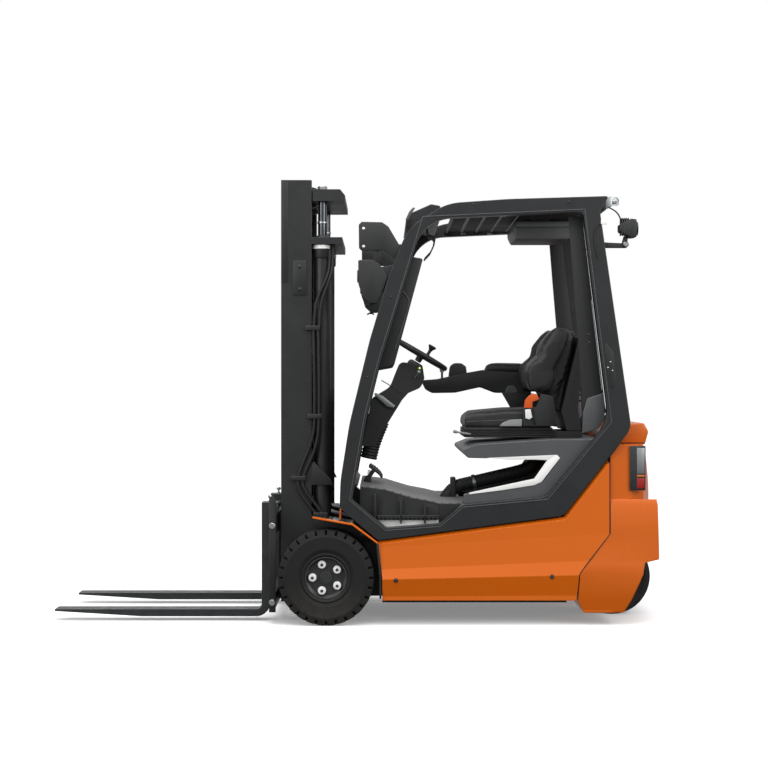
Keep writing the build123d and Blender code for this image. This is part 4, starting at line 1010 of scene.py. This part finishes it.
# Armrest levers and knob
knobs = [(439, 280, 1213), (439, 317, 1213)]
knob = lathe("knob", [(-4, 0), (-2, 9), (6, 12), (14, 12), (20, 8), (22, 0)], (0, 0, 0), up, 20)
copies("leverKnobs", knob, knobs, "chassis", "greyPlastic")
bracket = plate("bracket", [(748, 1104), (793, 1026), (880, 1006), (905, 1104)], 244, 258, 3)
fit(bracket, "chassis", "mouldedPlastic").name = "armrestBracket"
tiltRing = lathe("tiltRing", [(-2, 30), (8, 30), (11, 26), (11, 0)], (800, 258, 1110), right, 32)
fit(tiltRing, "chassis", "deckPlastic").name = "armrestPivot"
print("seat dressed")

# Steering: a round rim and spokes in place of the plain wheel, with its hub, knob and column controls
wheel = {"centre": (324, 0, 1296), "lean": radians(30.6), "rimR": 137, "gripR": 13}
wheelUp = Vector((sin(wheel["lean"]), 0, cos(wheel["lean"])))
wheelAcross = Vector((0, 1, 0))
wheelAhead = wheelUp.cross(wheelAcross)
grip = [(wheel["gripR"] * sin(a), wheel["rimR"] + wheel["gripR"] * cos(a)) for a in [2 * pi * i / 14 for i in range(14)]]
wheelParts = [lathe("rim", grip, wheel["centre"], wheelUp, 64, True)]
centre = Vector(wheel["centre"])
for i in range(3):
    angle = pi / 2 + 2 * pi * i / 3
    way = wheelAcross * cos(angle) + wheelAhead * sin(angle)
    spots = [centre + way * r + wheelUp * h for r, h in ((20, -6), (60, -5), (100, -1), (132, 0))]
    wheelParts.append(tube("spoke", spots, 9, 10))
wheelParts.append(lathe("hub", [(-40, 16), (-14, 18), (-12, 36), (6, 38), (13, 32), (15, 20), (13, 0)], centre, wheelUp, 40))
knobFoot = centre - wheelAcross * 134 + Vector((cos(wheel["lean"]), 0, -sin(wheel["lean"]))) * 25
knobShape = [(4, 13), (12, 13), (16, 8), (34, 8), (44, 12), (56, 21), (60, 21), (63, 17), (64, 0)]
wheelParts.append(lathe("knob", knobShape, knobFoot, wheelUp, 24))
steeringRim = fit(merge("steeringRim", wheelParts), "steering_wheel", "mouldedPlastic")
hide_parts("steering_wheel")
neck = lathe("neck", [(-120, 42), (-60, 42), (-50, 38), (-44, 30), (-44, 0)], centre, wheelUp, 36)
fit(neck, "chassis", "mouldedPlastic").name = "columnNeck"
shroud = [(256, 1258), (268, 1262), (330, 1232), (338, 1180), (322, 1150), (262, 1240)]
fit(plate("columnShroud", shroud, -42, 42, 6), "chassis", "mouldedPlastic")
screen = plate("screen", [(331, 1176), (339, 1174), (326, 1238), (318, 1240)], -38, 38, 2)
fit(screen, "chassis", "clearLens").name = "columnScreen"
light = lathe("light", [(-4, 5), (2, 5), (3, 3), (3, 0)], (314, -45, 1228), left, 12)
fit(light, "chassis", "greenLight").name = "columnLight"
stalk = [tube("stem", [(290, -44, 1180), (300, -90, 1190), (306, -140, 1204)], 4.5), lathe(
    "tip", [(-5, 0), (-3, 7), (14, 9), (24, 7), (27, 0)], (306, -140, 1204), Vector((0.1, -1, 0.25)), 16)]
fit(merge("travelStalk", stalk), "chassis", "greyPlastic")
clampLever = plate("columnClamp", [(84, 1098), (92, 1104), (128, 1088), (190, 1038), (180, 1027), (150, 1034), (92, 1084)], -60, -45, 3)
fit(clampLever, "chassis", "zincSteel")
seamRoute = [(120, -45.5, 1166), (150, -45.5, 1152), (222, -45.5, 1102)]
fit(tube("columnSeam", seamRoute, 2.4, 8), "chassis", "hoseRubber")
gaiter = tube("gaiter", [(120, 0, 960), (90, 0, 890), (66, 0, 820), (56, 0, 770)], 44, 24, 16, 5)
fit(gaiter, "chassis", "hoseRubber").name = "columnGaiter"
print("controls made")

# Pedals: ribbed rubber on their pads and return springs
for y, name in ((-60, "Brake"), (100, "Drive")):
    ribPlaces = [(63 + (x - 63) , y, 740 - (x - 63) * 0.57) for x in (68, 78, 88)] + [(100, y, 716), (109, y, 706), (117, y, 696)]
    bar = block("bar", (-3, -33, -2), (3, 33, 3), 1)
    copies("pedalGrip" + name, bar, ribPlaces, "chassis", "hoseRubber")
    coil = [(58 + 9 * cos(k * pi / 3), y + 52 + 9 * sin(k * pi / 3), 664 + k * 1.4) for k in range(30)]
    fit(tube("pedalSpring" + name, coil, 1.6, 6), "chassis", "zincSteel")

# Cowl edges and pillar trims
for side, facing in sides.items():
    name = sideName[side]
    line = [(-33, side * 452, 692), (8, side * 452, 958), (50, side * 452, 1122)]
    fit(tube("cowlEdge" + name, line, 2.5, 8), "chassis", "greyPlastic")
    seam = [(x, side * 515.5, z) for x, z in ((1118, 1546), (1143, 1333), (1168, 1120))]
    fit(tube("pillarSeam" + name, seam, 1.6, 6), "chassis", "greyPlastic")
    low, high = sorted((side * 515, side * 518))
    panel = [(1184, 1347), (1222, 1300), (1236, 1160), (1218, 1126), (1204, 1140), (1180, 1300)]
    fit(plate("pillarPanel" + name, panel, low, high, 1.5), "chassis", "mouldedPlastic")
    rivets = [(x, side * 518, z) for x, z in ((1208, 1252), (1196, 1225), (1218, 1211))]
    copies("pillarRivets" + name, rivetMaster(facing, 5), rivets, "chassis", "zincSteel")
    screws = [(x, side * 515, z) for x, z in ((1104, 1382), (1108, 1345), (55, 1180), (168, 1560), (1010, 2012), (560, 2000))]
    copies("ringScrews" + name, rivetMaster(facing, 6), screws, "chassis", "mastPaint")
    low, high = sorted((side * 455, side * 460))
    tab = [(236, 1932), (254, 1972), (272, 1992), (284, 1990), (268, 1966), (250, 1930)]
    fit(plate("headerTab" + name, tab, low, high, 1), "chassis", "deckPlastic")

pillarLiner = [
    (1082, 1950), (1196, 1010), (1170, 1000), (1100, 1060), (1084, 1030), (1060, 1406), (1035, 1700), (1015, 1950),
]
pillarFoot = [(1105, 1079), (1183, 1105), (1192, 979), (1158, 934), (1082, 911), (1086, 1010)]
# Painted highlight: a lighter grey bead round the ring's inner edge, for the light on its chamfer
ringBead = [
    (1086, 1977), (318, 1942), (102, 1245), (41, 996), (-30, 596), (142, 453), (401, 472), (510, 563), (911, 601),
    (1214, 965), (1086, 1977),
]
# Painted highlight: a lighter grey line along the front pillar's chamfer
trimLine = [(222, 1592), (254, 1560), (252, 1518), (185, 1310)]
for side, facing in sides.items():
    name = sideName[side]
    low, high = sorted((side * 446, side * 454))
    fit(plate("pillarLiner" + name, pillarLiner, low, high, 2), "chassis", "mouldedPlastic")
    low, high = sorted((side * 436, side * 458))
    fit(plate("pillarFoot" + name, pillarFoot, low, high, 4), "chassis", "deckPlastic")
    route = [(x, side * 515.5, z) for x, z in ringBead]
    beads = [tube("bead", pair, 2.0, 6) for pair in zip(route, route[1:])]
    fit(merge("ringBead" + name, beads), "chassis", "paintBead")
    route = [(x, side * 456, z) for x, z in trimLine]
    fit(tube("trimLine" + name, route, 3, 8), "chassis", "paintBead")
liner = plate("roofLiner", [(470, 1958), (1085, 1964), (1085, 1968), (470, 1962)], -445, 445, 1)
fit(liner, "chassis", "mouldedPlastic")
clips = block("clip", (-16, -4, -10), (16, 4, 3), 2)
copies("linerClips", clips, [(556, -444, 1958), (700, -444, 1958), (556, 444, 1958), (700, 444, 1958)], "chassis", "zincSteel")

# Front lamps: lenses and the bolts of their plates
for side, facing in sides.items():
    name = sideName[side]
    y = side * 467
    bezel = lathe("bezel", [(-4, 30), (6, 30), (8, 27), (3, 25), (-4, 25)], (14, y, 1662), front, 32, True)
    fit(bezel, "chassis", "mastPaint").name = "lampBezel" + name
    lens = lathe("lens", [(-4, 25), (2, 25), (6, 16), (7, 0)], (14, y, 1662), front, 28)
    fit(lens, "chassis", "clearLens").name = "lampLens" + name
    spots = [(37, side * 504, 1887), (37, side * 504, 1802)]
    copies("lampRivets" + name, rivetMaster(facing, 7), spots, "chassis", "whiteTrim")
    wing = [
        lathe("stem", [(-4, 5), (24, 5), (24, 0)], (62, side * 470, 1547), down, 10),
        tube("wings", [(44, side * 470, 1520), (52, side * 470, 1528), (72, side * 470, 1528), (80, side * 470, 1520)], 4, 8),
    ]
    fit(merge("lampWingNut" + name, wing), "chassis", "mastPaint")

# Rear work lamp, flasher and their leads on the left rear pillar
workLens = lathe("workLens", [(-6, 30), (3, 30), (6, 20), (7, 0)], (1333, -482, 1888), rear, 32)
fit(workLens, "chassis", "clearLens")
workBezel = lathe("workBezel", [(-8, 33), (8, 33), (9, 30), (-8, 30)], (1333, -482, 1888), rear, 36, True)
fit(workBezel, "chassis", "mastPaint")
fins = [block("fin", (1262 + i * 10, -520.5, 1856), (1266 + i * 10, -444.5, 1936), 0.8) for i in range(4)]
fit(merge("workLampFins", fins), "chassis", "mastPaint")
pivot = lathe("workLampPivot", [(-4, 14), (8, 14), (12, 10), (12, 0)], (1284, -495, 1812), left, 24)
fit(pivot, "chassis", "zincSteel")
flasher = lathe("flasherLens", [(0, 21), (30, 21), (37, 17), (39.5, 0)], (1227, -400, 2027), rear, 32)
fit(flasher, "chassis", "clearLens")
flasherCore = lathe("flasherCore", [(0, 9), (24, 9), (28, 5), (28, 0)], (1227, -400, 2027), rear, 16)
fit(flasherCore, "chassis", "zincSteel")
lead = [(1214, -440, 1992), (1232, -486, 1976), (1252, -500, 1950), (1262, -490, 1926)]
fit(tube("lampLead", lead, 3.5, 8), "chassis", "hoseRubber")
connector = block("leadConnector", (1162, -523, 1905), (1192, -515, 1926), 2)
fit(connector, "chassis", "whiteTrim")
pillarLead = [(1166, -519, 1916), (1140, -519, 1900), (1128, -518, 1850), (1136, -518, 1790), (1150, -517, 1740)]
fit(tube("pillarLead", pillarLead, 3.5, 8), "chassis", "hoseRubber")

# Overhead console: a pale blind roll, end caps and its face, and the mirror under the header
sleeve = lathe("blindSleeve", [(0, 17.6), (4, 19), (300, 19), (304, 17.6)], (802, -150, 1940), rear, 28)
fit(sleeve, "chassis", "greyPlastic")
face = plate("consoleFace", [(786, 1884), (800, 1872), (1060, 1872), (1064, 1922), (786, 1922)], -173, -170, 1)
fit(face, "chassis", "consolePlastic")
caps = [
    plate("cap", [(773, 1902), (786, 1872), (790, 1872), (790, 1928), (773, 1928)], -174, 174, 2),
    plate("cap", [(1068, 1900), (1074, 1870), (1122, 1868), (1122, 1930), (1068, 1930)], -174, -168, 2),
]
fit(merge("consoleCaps", caps), "chassis", "greyPlastic")
mirror = [
    (359, 1898), (384, 1890), (393, 1876), (388, 1846), (370, 1808), (340, 1776), (336, 1780), (365, 1811), (382, 1848),
    (387, 1875), (380, 1884), (358, 1892),
]
fit(plate("cabMirror", mirror, -95, 95, 1), "chassis", "mouldedPlastic")
fit(tube("mirrorStem", [(360, 0, 1890), (352, 0, 1915), (350, 0, 1940)], 6), "chassis", "mouldedPlastic")
print("cab dressed")

# Tail lamps: reflector windows on their outer faces
for side in sides:
    name = sideName[side]
    for low, high, finish, word in ((652, 700, "redLens", "Stop"), (706, 716, "amberLens", "Turn"), (722, 844, "zincSteel", "Reverse")):
        ends = sorted((side * 499, side * 502.5))
        window = [(1336, low), (1372, low), (1372, high), (1336, high)]
        fit(plate("lamp" + word + name, window, ends[0], ends[1], 1), "chassis", finish)

# Casting and cap: tow pin ring and joint line
ring = lathe("towRing", [(-5, 22), (0, 27), (5, 22), (0, 17)], (1432, 0, 580), up, 32, True)
fit(ring, "chassis", "zincSteel")
capLine = [tube("capLine", [(1212, y, 866), (1380, y, 866)], 2.2, 6) for y in (-435, 435)]
capLine.append(tube("capLine", [(1382, -434, 866), (1382, 434, 866)], 2.2, 6))
fit(merge("capJoint", capLine), "chassis", "hoseRubber")
print("rear dressed")

# Studio: a white floor and world with soft lights from above and both ends
floorMesh = bpy.data.meshes.new("studioFloor")
reach = 60
floorMesh.from_pydata([(-reach, -reach, 0), (reach, -reach, 0), (reach, reach, 0), (-reach, reach, 0)], [], [(0, 1, 2, 3)])
floor = bpy.data.objects.new("studioFloor", floorMesh)
paper = bpy.data.materials.new("paleFloor")
paper.use_nodes = True
paperShader = paper.node_tree.nodes["Principled BSDF"]
paperShader.inputs["Base Color"].default_value = linear("#efefef")
paperShader.inputs["Roughness"].default_value = 1.0
paperShader.inputs["Specular IOR Level"].default_value = 0.0
paperShader.inputs["Emission Color"].default_value = (1, 1, 1, 1)
paperShader.inputs["Emission Strength"].default_value = 0.22
floorMesh.materials.append(paper)
floor.visible_diffuse = False
floor.visible_glossy = False
bpy.context.scene.collection.objects.link(floor)

# The room: bright overhead, dimmer at eye level and dark below, behind a plain white backdrop
world = bpy.data.worlds.new("studio")
bpy.context.scene.world = world
world.use_nodes = True
sky = world.node_tree
way = addNode(sky, "ShaderNodeTexCoord")
height = addNode(sky, "ShaderNodeSeparateXYZ", i0=(way, 0))
room = addNode(sky, "ShaderNodeMapRange", i0=(height, 2), i1=-0.5, i2=0.9, i3=0.06, i4=1.25)
rays = addNode(sky, "ShaderNodeLightPath")
seen = addNode(sky, "ShaderNodeMix", i0=(rays, 0), i2=(room, 0), i3=1.0)
backdrop = sky.nodes["Background"]
backdrop.inputs["Color"].default_value = (1, 1, 1, 1)
sky.links.new(seen.outputs[0], backdrop.inputs["Strength"])
bpy.context.scene.view_settings.view_transform = "Standard"

softLights = [
    {"name": "topSoftbox", "place": (0.2, -1.5, 5.0), "aim": (0.2, 0, 0.8), "size": 4.0, "watts": 150},
    {"name": "frontSoftbox", "place": (-4.0, -5.0, 2.6), "aim": (0, 0, 1.0), "size": 3.0, "watts": 90},
    {"name": "rearSoftbox", "place": (4.5, -4.0, 3.0), "aim": (0.5, 0, 1.0), "size": 2.5, "watts": 90},
]
for light in softLights:
    data = bpy.data.lights.new(light["name"], "AREA")
    data.energy = light["watts"]
    data.size = light["size"]
    lamp = bpy.data.objects.new(light["name"], data)
    lamp.location = light["place"]
    lamp.rotation_euler = (Vector(light["aim"]) - Vector(light["place"])).to_track_quat("-Z", "Y").to_euler()
    bpy.context.scene.collection.objects.link(lamp)
print("studio lit")
